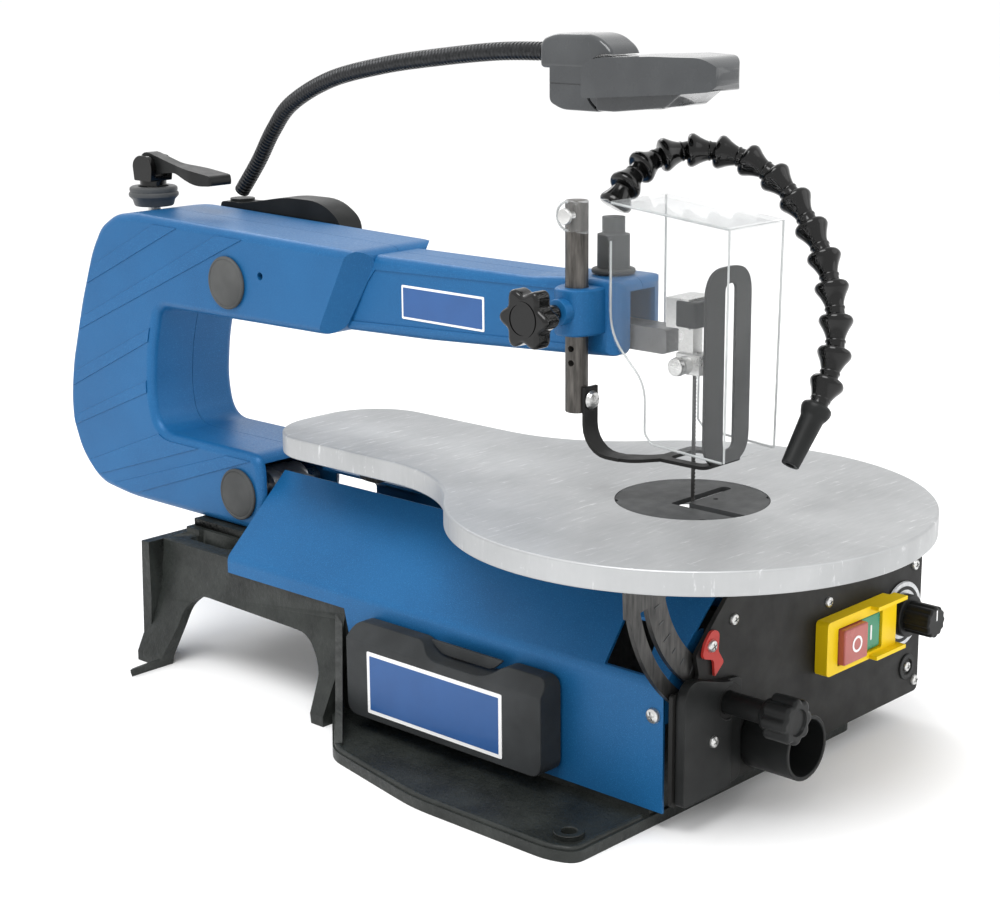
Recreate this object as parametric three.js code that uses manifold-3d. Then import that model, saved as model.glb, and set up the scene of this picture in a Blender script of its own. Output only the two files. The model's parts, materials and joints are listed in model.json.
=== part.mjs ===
// Scroll saw with a C-shaped arm housing, tilting table, hold-down guard, air hose and work lamp.
// Millimetres. Working frame: blade at x = 0, y = 0; bench at z = 0; operator stands at -Y.
import * as THREE from 'three';
import { mergeVertices } from 'three/addons/utils/BufferGeometryUtils.js';
import Module from 'manifold-3d';

const wasm = await Module();
wasm.setup();

// ---- driving dimensions -------------------------------------------------------------------
const GAP = 0.3;                 // gap between neighbouring solids
const ORIGIN = { x: 17.32, y: 186.35 }; // middle of the overall box, moved to x = 0, y = 0
const TABLE_TOP = 156;
const TABLE_T = 12.5;
const TABLE_R = 127.5;           // half of the 255 mm table width
const TABLE_REAR = 289.7;        // 415 mm behind the front rim
const TAIL_HALF = 49;
const INSERT_R = 40;
const TILT = { x: 0, z: 145.5 }; // tilt axis, parallel to Y
const PANEL_Y = -40;             // front face of the front panel
const PANEL_T = 2.5;
const SKIRT_X = 63;
const SKIRT_FOLD_Z = 77.6;
const SKIRT_FRONT = -32.5;
const SKIRT_REAR = 303;
const SLOPE = Math.tan(43.1 * Math.PI / 180);
const WALL_X = 60.5;             // outer face of the base's upper side wall
const BASE_TOP = 76;
const HOUSING_HALF = 33.5;       // half width of the thick part of the C-frame
const ARM_HALF = 20;             // half width of its slim front arm
const UPPER_PIVOT = { y: 328, z: 238 };
const LOWER_PIVOT = { y: 325, z: 107 };
const TENSION_Y = 439.5;
const TENSION_PIVOT_Z = 299;
const POST = { x: -28, y: 55, r: 6 };
const GUARD_PIVOT_Z = 302;
const CRANK = { y: 150, z: 52, throw: 3.7 };
const LOCK = { x: -26, z: 63 };  // tilt lock knob axis
const DIAL = { x: 141, z: 67 };
const DUST = { x: 8, z: 34.5, r: 17.5 };
const FITTING = { x: 0, y: 54, z: 268.5 };
const LAMP = { x: 44, y: 404, headX: 14, neckY: 108, pivotY: 61.5, pivotZ: 365 };
const LENS_Y = 39;

// ---- materials ------------------------------------------------------------------------------
const paint = (color, roughness, metalness = 0) => ({ color, roughness, metalness });
const BLUE = paint(0x1f5fa8, 0.45, 0.1);
const CAST = paint(0x1c1e1e, 0.7, 0.2);
const BLACK = paint(0x1a1a1b, 0.5);
const GREY = paint(0x4c4f52, 0.55);
const ALLOY = paint(0xc9ccce, 0.35, 0.8);
const STEEL = paint(0x9a9da0, 0.3, 0.9);
const DARK_STEEL = paint(0x3a3a3b, 0.4, 0.7);
const CLEAR = paint(0xe8eef0, 0.08);
const YELLOW = paint(0xe8c21a, 0.45);
const RED = paint(0xc4302c, 0.45);
const GREEN = paint(0x3c9a63, 0.45);

// ---- solid helpers --------------------------------------------------------------------------
function solid(geometry) {
  const bare = geometry.clone();
  bare.deleteAttribute('normal');
  bare.deleteAttribute('uv');
  const merged = mergeVertices(bare, 1e-4);
  const vertProperties = Float32Array.from(merged.attributes.position.array);
  const triVerts = Uint32Array.from(merged.index.array);
  return new wasm.Manifold(new wasm.Mesh({ numProp: 3, vertProperties, triVerts }));
}

function geometryOf(body) {
  const mesh = body.getMesh();
  const geometry = new THREE.BufferGeometry();
  geometry.setAttribute('position', new THREE.BufferAttribute(Float32Array.from(mesh.vertProperties), 3));
  geometry.setIndex(new THREE.BufferAttribute(Uint32Array.from(mesh.triVerts), 1));
  geometry.computeVertexNormals();
  return geometry;
}

const join = (...bodies) => bodies.reduce((a, b) => a.add(b));
const cut = (body, ...tools) => tools.reduce((a, b) => a.subtract(b), body);

// A closed outline with its corners rounded; radius is one number, or one for each corner.
function outline(points, radius = 0) {
  const shape = new THREE.Shape();
  points.forEach(([x, y], i) => {
    const r = Array.isArray(radius) ? radius[i] : radius;
    if (r <= 0) {
      if (i === 0) shape.moveTo(x, y);
      else shape.lineTo(x, y);
      return;
    }
    const before = points[(i + points.length - 1) % points.length];
    const after = points[(i + 1) % points.length];
    const start = towards([x, y], before, r);
    const end = towards([x, y], after, r);
    if (i === 0) shape.moveTo(...start);
    else shape.lineTo(...start);
    shape.quadraticCurveTo(x, y, ...end);
  });
  shape.closePath();
  return shape;
}

function towards(from, to, distance) {
  const length = Math.hypot(to[0] - from[0], to[1] - from[1]);
  const t = Math.min(distance, length * 0.49) / length;
  return [from[0] + (to[0] - from[0]) * t, from[1] + (to[1] - from[1]) * t];
}

const rectangle = (a0, a1, b0, b1) => [[a0, b0], [a1, b0], [a1, b1], [a0, b1]];

function extrude(shape, depth, curveSegments) {
  return new THREE.ExtrudeGeometry(shape, { depth, bevelEnabled: false, curveSegments });
}

// Prisms along the three axes: outlines are drawn in (x, y), (y, z) and (x, z).
function prismZ(shape, z0, z1, curveSegments = 5) {
  return solid(extrude(shape, z1 - z0, curveSegments).translate(0, 0, z0));
}

function prismX(shape, x0, x1, curveSegments = 5) {
  const basis = new THREE.Matrix4().makeBasis(
    new THREE.Vector3(0, 1, 0), new THREE.Vector3(0, 0, 1), new THREE.Vector3(1, 0, 0));
  return solid(extrude(shape, x1 - x0, curveSegments).applyMatrix4(basis).translate(x0, 0, 0));
}

function prismY(shape, y0, y1, curveSegments = 5) {
  const basis = new THREE.Matrix4().makeBasis(
    new THREE.Vector3(1, 0, 0), new THREE.Vector3(0, 0, 1), new THREE.Vector3(0, -1, 0));
  return solid(extrude(shape, y1 - y0, curveSegments).applyMatrix4(basis).translate(0, y1, 0));
}

function box(x0, x1, y0, y1, z0, z1) {
  const geometry = new THREE.BoxGeometry(x1 - x0, y1 - y0, z1 - z0);
  return solid(geometry.translate((x0 + x1) / 2, (y0 + y1) / 2, (z0 + z1) / 2));
}

// A solid of revolution: profile is [radius, distance along the axis], from axis to axis.
function turned(profile, direction, origin, segments = 24) {
  const points = profile.map(([r, h]) => new THREE.Vector2(r, h));
  const geometry = new THREE.LatheGeometry(points, segments);
  const turn = new THREE.Quaternion().setFromUnitVectors(
    new THREE.Vector3(0, 1, 0), new THREE.Vector3(...direction).normalize());
  return solid(geometry.applyQuaternion(turn).translate(...origin));
}

const X = [1, 0, 0];
const Y = [0, 1, 0];
const Z = [0, 0, 1];

function rod(radius, direction, origin, length, segments = 20) {
  return turned([[0, 0], [radius, 0], [radius, length], [0, length]], direction, origin, segments);
}

const rodX = (r, x0, x1, y, z, segments) => rod(r, X, [x0, y, z], x1 - x0, segments);
const rodY = (r, y0, y1, x, z, segments) => rod(r, Y, [x, y0, z], y1 - y0, segments);
const rodZ = (r, z0, z1, x, y, segments) => rod(r, Z, [x, y, z0], z1 - z0, segments);

function sector(inner, outer, from, to) {
  const start = from * Math.PI / 180;
  const end = to * Math.PI / 180;
  const shape = new THREE.Shape();
  shape.absarc(TILT.x, TILT.z, outer, start, end, false);
  shape.absarc(TILT.x, TILT.z, inner, end, start, true);
  shape.closePath();
  return shape;
}

// A round bar along a smooth curve through points.
function bar(points, radius, steps, sides = 10) {
  const section = new THREE.Shape();
  section.absarc(0, 0, radius, 0, Math.PI * 2, false);
  const path = new THREE.CatmullRomCurve3(points.map((p) => new THREE.Vector3(...p)));
  return solid(new THREE.ExtrudeGeometry(section, {
    steps, extrudePath: path, curveSegments: Math.max(4, sides / 2), bevelEnabled: false,
  }));
}

const saw = new THREE.Group();

function add(name, body, finish) {
  const placed = body.translate([-ORIGIN.x, -ORIGIN.y, 0]);
  const mesh = new THREE.Mesh(geometryOf(placed), new THREE.MeshStandardMaterial(finish));
  mesh.name = name;
  saw.add(mesh);
}

const mirrored = (points) => points.map(([x, y]) => [-x, y]).reverse();

// ---- base -----------------------------------------------------------------------------------
// The web that runs down from the side wall to the rear corner of the front foot.
function gusset(side) {
  const web = prismX(outline([[0, 0], [-62, 0], [-62, 8], [-39, 24], [0, 62]]), -2, 2);
  return web.rotate([0, 0, 44 * side]).translate([60 * side, 208, 0]);
}

function baseCasting() {
  const flange = outline([[-119, -24], [119, -24], [125, -10], [125, 84], [109, 162], [70, 205],
    [57, 205], [57, -10], [-57, -10], [-57, 205], [-70, 205], [-109, 162], [-125, 84], [-125, -10]],
  [6, 6, 8, 12, 8, 0, 0, 4, 4, 0, 0, 8, 12, 8]);
  const wall = rectangle(-WALL_X, 6 - WALL_X, 0, BASE_TOP);
  const flare = [[-WALL_X, BASE_TOP], [-WALL_X, 64], [-64, 46], [-70, 26], [-80, 6], [-80, 0],
    [-72, 0], [-63, 26], [-57, 46], [6 - WALL_X, 64], [6 - WALL_X, BASE_TOP]];
  const rearFoot = outline([[-108, 330], [-70, 319], [-70, 355], [-106, 352]], [8, 2, 2, 8]);
  const rearWall = outline([[368, BASE_TOP], [368, 40], [371, 2], [378, 2], [375, BASE_TOP]]);
  const arch = outline([[212, -1], [216, 30], [230, 46], [330, 48], [342, 38], [352, -1]], [0, 8, 10,
    8, 6, 0]);
  const rearArch = outline([[-54, -1], [-46, 40], [46, 40], [54, -1]], [0, 12, 12, 0]);
  let body = join(
    prismZ(flange, 0, 6),
    prismY(outline(wall), -22, 205),
    prismY(outline(mirrored(wall)), -22, 205),
    prismY(outline(flare), 202, 374),
    prismY(outline(mirrored(flare)), 202, 374),
    prismZ(rearFoot, 0, 5),
    prismZ(outline(mirrored([[-108, 330], [-70, 319], [-70, 355], [-106, 352]]), [8, 2, 2, 8]), 0, 5),
    prismX(rearWall, -72, 72),
    box(-WALL_X, WALL_X, -22, -15, 0, BASE_TOP),
    box(-WALL_X, WALL_X, 262, 374, 69, BASE_TOP),
    box(-42, 42, 256, 368, BASE_TOP - 1, 80),
    box(-37, 37, 258, 366, 79, 84.7),
  );
  for (const side of [-1, 1]) {
    body = join(body, rodZ(8, 5, 8, 106 * side, -8), gusset(side));
    body = cut(body, rodZ(4, -1, 9, 106 * side, -8), rodZ(4, -1, 9, 92 * side, 338));
    body = cut(body, prismZ(outline(rectangle(45 * side - 5, 45 * side + 5, 318, 356), 4), 68, 82));
  }
  body = cut(body, prismX(arch, -120, 120), prismY(rearArch, 360, 384));
  return cut(body, rodX(12, 50, 90, CRANK.y, CRANK.z), rodY(15.2, -30, -10, DUST.x, DUST.z));
}

function skirtSection(x, sheet) {
  const rise = (reach) => SKIRT_FOLD_Z + (x - reach) * SLOPE;
  return outline([[-x, 0], [-x, SKIRT_FOLD_Z], [-15, rise(15)], [-15, rise(15) - sheet],
    [-x + sheet * 0.9, SKIRT_FOLD_Z - sheet * 0.4], [-x + sheet, 0]]);
}

function sideSkirt() {
  const sheet = 1.6;
  const section = prismY(skirtSection(SKIRT_X, sheet), SKIRT_FRONT, SKIRT_REAR);
  const below = outline([[-60, -5], [-60, 10.5], [186, 10.5], [200, 68], [330, 68], [330, -5]]);
  const slot = outline([[-18, 80], [-8, 112], [14, 112], [8, 80]]);
  const ends = outline([[-62.4, 58], [-62.4, 78], [-38, 100.5], [-31, 100.5], [-31, 92], [-50, 58]]);
  return join(cut(section, prismX(below, -70, -50), prismX(slot, -80, -38)),
    prismY(ends, SKIRT_FRONT, SKIRT_FRONT + sheet));
}

function sideCoverRight() {
  const sheet = 1.6;
  const top = 118;
  const section = outline([[SKIRT_X, 68], [SKIRT_X, 98], [40, top], [16, top], [16, top - sheet],
    [39.5, top - sheet], [SKIRT_X - sheet, 97.5], [SKIRT_X - sheet, 68]]);
  const notch = outline([[108, 60], [108, 92], [192, 92], [192, 60]]);
  return cut(prismY(section, SKIRT_FRONT, SKIRT_REAR), prismX(notch, 55, 70));
}

function frontPanel() {
  const face = outline([[-65, 16], [162, 16], [162, 96], [156, 132], [-4, 132], [-16, 122],
    [-47, 92], [-44, 80], [-52, 76], [-65, 76]], [3, 4, 4, 6, 2, 2, 2, 2, 2, 2]);
  const y1 = PANEL_Y + PANEL_T;
  return cut(prismY(face, PANEL_Y, y1),
    rodY(3, PANEL_Y - 1, y1 + 1, LOCK.x, LOCK.z),
    rodY(2.9, PANEL_Y - 1, y1 + 1, -36.5, 95, 14),
    rodY(DUST.r - 2, PANEL_Y - 1, y1 + 1, DUST.x, DUST.z),
    prismY(outline(rectangle(67, 110, 57.4, 78.6)), PANEL_Y - 1, y1 + 1),
    rodY(4, PANEL_Y - 1, y1 + 1, DIAL.x, DIAL.z));
}

function panelBezel() {
  const face = outline([[-63, 17], [-12, 17], [-12, 73], [-30, 75], [-56, 83], [-63, 76]], [2, 6, 4, 4,
    8, 6]);
  const body = prismY(face, PANEL_Y - 6, PANEL_Y - GAP);
  const corner = outline([[-10, 88], [-10, 14], [-24, 14], [-24, 88]]);
  return cut(body,
    rodY(9, PANEL_Y - 9, PANEL_Y - 2, LOCK.x, LOCK.z),
    rodY(2.6, PANEL_Y - 9, PANEL_Y + 1, LOCK.x, LOCK.z),
    prismY(corner, PANEL_Y - 9, PANEL_Y - 3),
    rodY(DUST.r + 1, PANEL_Y - 9, PANEL_Y + 1, DUST.x, DUST.z));
}

function controlBox() {
  const back = 40;
  const y0 = PANEL_Y + PANEL_T + GAP;
  return cut(box(64.5, 160, y0, back, 18, 92), box(66.5, 158, y0 - 1, back - 2, 20, 90));
}

function dustPort() {
  const r = DUST.r;
  const profile = [[r - 2.5, 0], [r, 0], [r, 30], [r - 2.5, 30], [r - 2.5, 0]];
  return turned(profile, Y, [DUST.x, PANEL_Y - 30 - GAP, DUST.z], 32);
}

add('base_casting', baseCasting(), CAST);
add('side_skirt', sideSkirt(), BLUE);
add('side_cover_right', sideCoverRight(), BLUE);
add('front_panel', frontPanel(), BLACK);
add('panel_bezel', panelBezel(), BLACK);
add('control_box', controlBox(), BLACK);
add('dust_port', dustPort(), BLACK);
add('cord_gland', turned([[3.5, 0], [6, 0], [6, 12], [3.5, 14], [3.5, 0]], Y, [120, 40 + GAP, 40], 16),
  BLACK);

// ---- C-shaped arm housing -------------------------------------------------------------------
const HOUSING = [[304.5, 85], [437, 85], [470, 89], [489, 106], [498, 128], [498, 145], [494, 168],
  [480, 211], [466, 245], [455, 261], [440, 269.5], [420, 272], [222, 267.5], [226, 260], [249, 216.4],
  [398, 214.5], [406, 186], [409, 160], [406, 141], [397, 134], [310, 134], [304.5, 128]];
const HOUSING_R = [3, 10, 10, 10, 8, 8, 8, 8, 8, 6, 6, 6, 4, 4, 6, 8, 8, 8, 8, 8, 6, 4];
const CAVITY = [[295, 89.3], [447, 89.3], [468, 94], [484, 110], [492, 130], [492, 144], [488, 167],
  [474, 210], [460, 242], [450, 256], [437, 264], [420, 266.5], [230, 262], [255, 222],
  [401, 220], [411, 188], [415, 160], [411, 137], [400, 128.5], [295, 128.5]];
const SLIM = [[270, 216.8], [173, 220], [74, 225.7], [34, 228.6], [34, 268], [62, 268], [98, 264.3],
  [270, 264]];
const SLIM_CAVITY = [[280, 222], [173, 224], [120, 225.5], [104, 226], [37.5, 222], [37.5, 263], [280,
  259.5]];

function postBracket() {
  const plan = outline([[-14, 43], [-29, 43], [-39.5, 48], [-39.5, 62], [-29, 67], [-14, 69]], [1, 6,
    6, 6, 6, 1]);
  const body = join(prismZ(plan, 240, 264.5), rodX(7, -44, -34, POST.y, 253));
  return cut(body, rodZ(POST.r + GAP, 230, 270, POST.x, POST.y), rodX(3.2, -46, -30, POST.y, 253));
}

function housingHalf(side) {
  const span = (half) => (side < 0 ? [-half, -GAP / 2] : [GAP / 2, half]);
  const inner = (half) => (side < 0 ? [-half, 1] : [-1, half]);
  let body = join(
    prismX(outline(HOUSING, HOUSING_R), ...span(HOUSING_HALF), 3),
    prismX(outline(SLIM, [0, 4, 4, 2, 4, 4, 6, 0]), ...span(ARM_HALF), 3),
  );
  const corner = outline([[ARM_HALF + 5, 30], [ARM_HALF + 5, 48], [ARM_HALF, 48], [ARM_HALF - 3, 39.5],
    [ARM_HALF - 10, 33.6], [ARM_HALF - 10, 30]]);
  const corners = prismZ(corner, 220, 280);
  body = cut(body, side < 0 ? corners.mirror([1, 0, 0]) : corners);
  if (side < 0) body = join(body, postBracket());
  body = cut(body,
    prismX(outline(CAVITY, 3), ...inner(HOUSING_HALF - 5), 3),
    prismX(outline(SLIM_CAVITY), ...inner(ARM_HALF - 5.5)),
    box(-10, 10, 28, 48, 223.5, 262),
    box(-14.5, 14.5, 300, 312, 91, 128),
    rodZ(6.5, 255, 280, 0, TENSION_Y),
    rodX(5.3, -40, 40, UPPER_PIVOT.y, UPPER_PIVOT.z),
    rodX(5.3, -40, 40, LOWER_PIVOT.y, LOWER_PIVOT.z),
    rodX(2.2, side < 0 ? -40 : 20, side < 0 ? -20 : 40, 298, 247, 12));
  return body;
}

function pivotCap(side, pivot) {
  const profile = [[0, 0], [16, 0], [16, 1.2], [13, 2.6], [7, 3.3], [0, 3.5]];
  return turned(profile, [side, 0, 0], [side * (HOUSING_HALF + GAP), pivot.y, pivot.z], 28);
}

add('arm_housing_left', housingHalf(-1), BLUE);
add('arm_housing_right', housingHalf(1), BLUE);
for (const [name, pivot] of [['upper', UPPER_PIVOT], ['lower', LOWER_PIVOT]]) {
  add(`${name}_pivot_cap_left`, pivotCap(-1, pivot), GREY);
  add(`${name}_pivot_cap_right`, pivotCap(1, pivot), GREY);
  add(`${name}_pivot_pin`, rodX(5, -33, 33, pivot.y, pivot.z), STEEL);
}

// ---- rocker arms, drive and blade -----------------------------------------------------------
function rockerArm(pivot, front, z0, z1) {
  const profile = outline([[front, z0], [pivot.y - 20, z0], [pivot.y, pivot.z - 14], [pivot.y + 20, z0],
    [TENSION_Y + 11, z0], [TENSION_Y + 11, z1], [pivot.y + 20, z1], [pivot.y, pivot.z + 14],
    [pivot.y - 20, z1], [front, z1]], [3, 8, 12, 8, 4, 4, 8, 12, 8, 3]);
  const body = join(prismX(profile, -8, 8), rodX(12, -14, 14, pivot.y, pivot.z));
  return cut(body, rodX(5.3, -20, 20, pivot.y, pivot.z), rodZ(5.5, z0 - 5, z1 + 5, 0, TENSION_Y));
}

function lowerArm() {
  const arm = rockerArm(LOWER_PIVOT, 11, 100.5, 113.5);
  return join(arm, rodX(3, 6, 19, CRANK.y, LOWER_PIVOT.z));
}

function connectingRod() {
  const top = LOWER_PIVOT.z;
  const bottom = CRANK.z;
  const web = outline([[CRANK.y - 4, bottom], [CRANK.y + 4, bottom], [CRANK.y + 3.5, top],
    [CRANK.y - 3.5, top]]);
  const body = join(prismX(web, 11, 16), rodX(7, 11, 16, CRANK.y, top), rodX(15, 11, 16, CRANK.y,
    bottom, 28));
  return cut(body, rodX(3.3, 8, 20, CRANK.y, top), rodX(10.6, 8, 20, CRANK.y, bottom, 28));
}

function crank() {
  return join(
    rodX(16, 20, 26, CRANK.y, CRANK.z, 28),
    rodX(5, 25, 64, CRANK.y, CRANK.z),
    rodX(3, 10, 21, CRANK.y - CRANK.throw, CRANK.z));
}

function motor() {
  const body = join(
    turned([[0, 0], [30, 0], [36, 4], [36, 74], [30, 80], [0, 80]], X, [68, CRANK.y, CRANK.z], 32),
    box(61, 69, CRANK.y - 30, CRANK.y + 30, 22, 82));
  return cut(body, rodX(5.6, 55, 110, CRANK.y, CRANK.z));
}

function tensionRod() {
  return join(
    rodZ(4, 93.5, 284.6, 0, TENSION_Y),
    rodZ(8.5, 95, 98.5, 0, TENSION_Y),
    rodZ(9, 247, 251, 0, TENSION_Y));
}

function upperClamp() {
  return cut(join(
    box(-6, 6, -7.5, 7.5, 222.5, 233),
    box(-4, 4, -2, 7.5, 232, 247),
    box(-10.5, 10.5, -4, 10.5, 246.6, 262),
    rodX(4.6, -11, -6, 1, 227.5)),
  rodX(2.4, -12, -3, 1, 227.5), box(-0.7, 0.7, -8, 3, 222, 233.5));
}

function lowerClamp() {
  return cut(join(
    box(-6, 6, -7.5, 7.5, 117.5, 128),
    box(-4, 4, -4, 9, 104, 118)),
  rodX(2.4, -8, -3, 1, 122), box(-0.7, 0.7, -8, 3, 117, 129));
}

function clampScrew(z, x) {
  return join(rodX(2.1, x - 1, -3.4, 1, z, 12), turned([[0, 0], [4.6, 0.6], [5, 3.6], [0, 3.6]], X,
    [x - 4.6, 1, z], 20));
}

add('upper_arm', rockerArm(UPPER_PIVOT, 12, 231.5, 244.5), ALLOY);
add('lower_arm', lowerArm(), ALLOY);
add('connecting_rod', connectingRod(), STEEL);
add('motor', motor(), CAST);
add('motor_crank', crank(), STEEL);
add('tension_rod', tensionRod(), STEEL);
add('blade', box(-0.3, 0.3, -1.6, 0.8, 118.5, 232), DARK_STEEL);
add('upper_clamp', upperClamp(), STEEL);
add('lower_clamp', lowerClamp(), STEEL);
add('upper_clamp_screw', clampScrew(227.5, -11), STEEL);
add('lower_clamp_screw', clampScrew(122, -6), STEEL);

// ---- blade tension lever --------------------------------------------------------------------
function tensionWasher() {
  const profile = [[9.8, 0], [12.5, 0], [15, 6], [15.6, 11.5], [13, 12.5], [9.8, 12.5], [9.8, 0]];
  return turned(profile, Z, [0, TENSION_Y, 272 + GAP], 28);
}

function tensionYoke() {
  const cheeks = outline([[TENSION_Y - 8.5, 288.4], [TENSION_Y + 8.5, 288.4], [TENSION_Y + 10, 300],
    [TENSION_Y + 4, 304.5], [TENSION_Y - 6, 304.5], [TENSION_Y - 10, 298]], [1, 1, 4, 3, 3, 3]);
  const body = join(prismX(cheeks, -8.5, 8.5), rodZ(8.5, 285, 289, 0, TENSION_Y));
  return cut(body, box(-4.6, 4.6, TENSION_Y - 12, TENSION_Y + 12, 291, 310));
}

function tensionLever() {
  const y = TENSION_Y;
  const profile = outline([[y - 2, 306.4], [y - 26, 300.5], [y - 46, 298.5], [y - 68, 296], [y - 69, 290],
    [y - 54, 289], [y - 28, 295.5], [y - 4, 292.6]], [1, 6, 6, 3, 3, 6, 6, 1]);
  const paddle = outline([[4.2, y + 10], [4.2, y - 26], [8.5, y - 44], [8.5, y - 70], [-8.5, y - 70],
    [-8.5, y - 44], [-4.2, y - 26], [-4.2, y + 10]], [0, 4, 6, 4, 4, 6, 4, 0]);
  return join(prismX(profile, -10, 10), rodX(7.5, -4.2, 4.2, y,
    TENSION_PIVOT_Z)).intersect(prismZ(paddle, 280, 320));
}

add('tension_washer', tensionWasher(), GREY);
add('tension_yoke', tensionYoke(), BLACK);
add('tension_lever', tensionLever(), BLACK);

// ---- tilting table --------------------------------------------------------------------------
function tableOutline() {
  const fillet = 100;
  const centreY = 2.2;
  const fx = TAIL_HALF + fillet;
  const fy = centreY + Math.sqrt((TABLE_R + fillet) ** 2 - fx ** 2);
  const onDisc = Math.atan2(fy - centreY, fx);
  const corner = 40;
  const shape = new THREE.Shape();
  shape.absarc(0, centreY, TABLE_R, Math.PI - onDisc, onDisc + Math.PI * 2, false);
  shape.absarc(fx, fy, fillet, onDisc + Math.PI, Math.PI, true);
  shape.absarc(TAIL_HALF - corner, TABLE_REAR - corner, corner, 0, Math.PI / 2, false);
  shape.absarc(-TAIL_HALF + corner, TABLE_REAR - corner, corner, Math.PI / 2, Math.PI, false);
  shape.absarc(-fx, fy, fillet, 0, -onDisc, true);
  shape.closePath();
  return shape;
}

function tableTop() {
  const boss = rodZ(11, 138.5, TABLE_TOP - 6, -45, -88, 16);
  return cut(join(prismZ(tableOutline(), TABLE_TOP - TABLE_T, TABLE_TOP, 24), boss),
    rodZ(INSERT_R + GAP, TABLE_TOP - 3, TABLE_TOP + 1, 0, 0, 40),
    rodZ(INSERT_R - 6, TABLE_TOP - 20, TABLE_TOP + 1, 0, 0, 32));
}

function tableInsert() {
  const disc = rodZ(INSERT_R, TABLE_TOP - 2.7, TABLE_TOP - 0.1, 0, 0, 40);
  const slot = outline([[-14, 3.4], [-14, -45], [-7, -45], [-7, -3], [31, -3], [31, 3.4]], [1, 0, 0, 1,
    3, 3]);
  const notches = [45, 135, 225, 315].map((deg) => {
    const a = deg * Math.PI / 180;
    return rodZ(2.6, TABLE_TOP - 5, TABLE_TOP + 2, 41 * Math.cos(a), 41 * Math.sin(a), 10);
  });
  return cut(disc, prismZ(slot, TABLE_TOP - 5, TABLE_TOP + 2), ...notches);
}

function tableTrunnion() {
  const under = TABLE_TOP - TABLE_T - GAP;
  const y0 = PANEL_Y + PANEL_T + 1;
  const y1 = y0 + 3;
  const root = outline([[-97, under], [-64, under], [-66, 127], [-96, 122]]);
  return join(
    prismY(sector(70, 83.8, -172, -114), y0, y1, 14),
    prismY(sector(89.2, 97, -172, -96), y0, y1, 16),
    prismY(root, y0, y1),
    box(-97, 30, y0, y1, 139.5, under),
    box(-30, 30, y0, y0 + 16, under - 3, under));
}

function rearTrunnion() {
  const under = TABLE_TOP - TABLE_T - GAP;
  const ear = outline([[-20, under], [20, under], [14, 128], [5, 124], [-5, 124], [-14, 128]], 3);
  return cut(join(prismY(ear, 232, 236), box(-20, 20, 222, 246, under - 3, under)), rodY(3, 225, 245,
    0, 133));
}

function tiltPointer() {
  const y0 = PANEL_Y - 1.9;
  const plate = outline([[-44, 90], [-42, 97.5], [-36, 103.5], [-30, 101], [-31, 91], [-26, 84],
    [-33.5, 78], [-34.5, 87]],
    [3, 3, 3, 3, 2, 2, 0.5, 2]);
  return join(prismY(plate, y0, y0 + 1.6), rodY(2.6, y0, PANEL_Y + PANEL_T, -36.5, 95, 14));
}

function tiltLockKnob() {
  const end = -88;
  let body = join(
    rodY(2.2, PANEL_Y - 4, -28, LOCK.x, LOCK.z, 14),
    rodY(6, -70, PANEL_Y - 3, LOCK.x, LOCK.z, 20),
    turned([[0, 0], [10, 0], [12.2, 3], [12.2, 15], [8.6, 19], [0, 19]], Y, [LOCK.x, end, LOCK.z], 24));
  for (let i = 0; i < 8; i += 1) {
    const a = i * Math.PI / 4;
    body = cut(body, rodY(2.6, end - 1, end + 17, LOCK.x + 13.4 * Math.cos(a),
      LOCK.z + 13.4 * Math.sin(a), 10));
  }
  return body;
}

add('table_top', tableTop(), ALLOY);
add('table_insert', tableInsert(), BLACK);
add('table_trunnion', tableTrunnion(), DARK_STEEL);
add('rear_trunnion', rearTrunnion(), DARK_STEEL);
add('tilt_pointer', tiltPointer(), RED);
add('tilt_lock_knob', tiltLockKnob(), BLACK);

// ---- switch and speed dial ------------------------------------------------------------------
const SWITCH = { x0: 57, x1: 124, z0: 53.5, z1: 84 };

function switchFrame() {
  const { x0, x1, z0, z1 } = SWITCH;
  const y0 = PANEL_Y - 8;
  const y1 = PANEL_Y - GAP;
  const frame = prismY(outline(rectangle(x0, x1, z0, z1), 2), y0, y1);
  const wings = join(box(x1 - 26, x1 + 3, y0 - 5, y0 + 3, z1 - 2.2, z1), box(x1 - 26, x1 + 3, y0 - 5,
    y0 + 3, z0, z0 + 2.2));
  return cut(join(frame, wings), prismY(outline(rectangle(67, 110, 57.4, 78.6)), y0 - 9, y1 + 1));
}

function buttonCap(x0, x1, front) {
  return prismY(outline(rectangle(x0, x1, 58, 78), 1.5), front, PANEL_Y + PANEL_T + 3);
}

function dialPlate() {
  const ring = turned([[4.2, 0], [19, 0], [19, 1.4], [4.2, 1.4], [4.2, 0]], Y, [DIAL.x,
    PANEL_Y - 1.4 - GAP, DIAL.z], 36);
  return cut(ring, box(DIAL.x - 25, SWITCH.x1 + GAP, -50, -30, SWITCH.z0, SWITCH.z1 + 1));
}

function speedKnob() {
  const y = PANEL_Y - 2.2;
  let body = join(
    turned([[0, -21.5], [6.5, -21.5], [8.8, -20], [9.6, -7], [12.2, -5], [12.2, 0], [0, 0]], Y,
      [DIAL.x, y, DIAL.z], 24),
    rodY(3, y - 1, -30, DIAL.x, DIAL.z, 14));
  for (let i = 0; i < 12; i += 1) {
    const a = i * Math.PI / 6;
    body = cut(body, rodY(1, y - 24, y - 7, DIAL.x + 9.6 * Math.cos(a), DIAL.z + 9.6 * Math.sin(a), 8));
  }
  return body;
}

add('switch_frame', switchFrame(), YELLOW);
add('stop_button', buttonCap(67.6, 90.2, PANEL_Y - 12), RED);
add('start_button', buttonCap(91, 109.4, PANEL_Y - 7), GREEN);
add('dial_plate', dialPlate(), ALLOY);
add('speed_knob', speedKnob(), BLACK);

// ---- hold-down post, foot and clear guard ---------------------------------------------------
function guardPost() {
  return rodZ(POST.r, 199, 309, POST.x, POST.y, 24);
}

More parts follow.
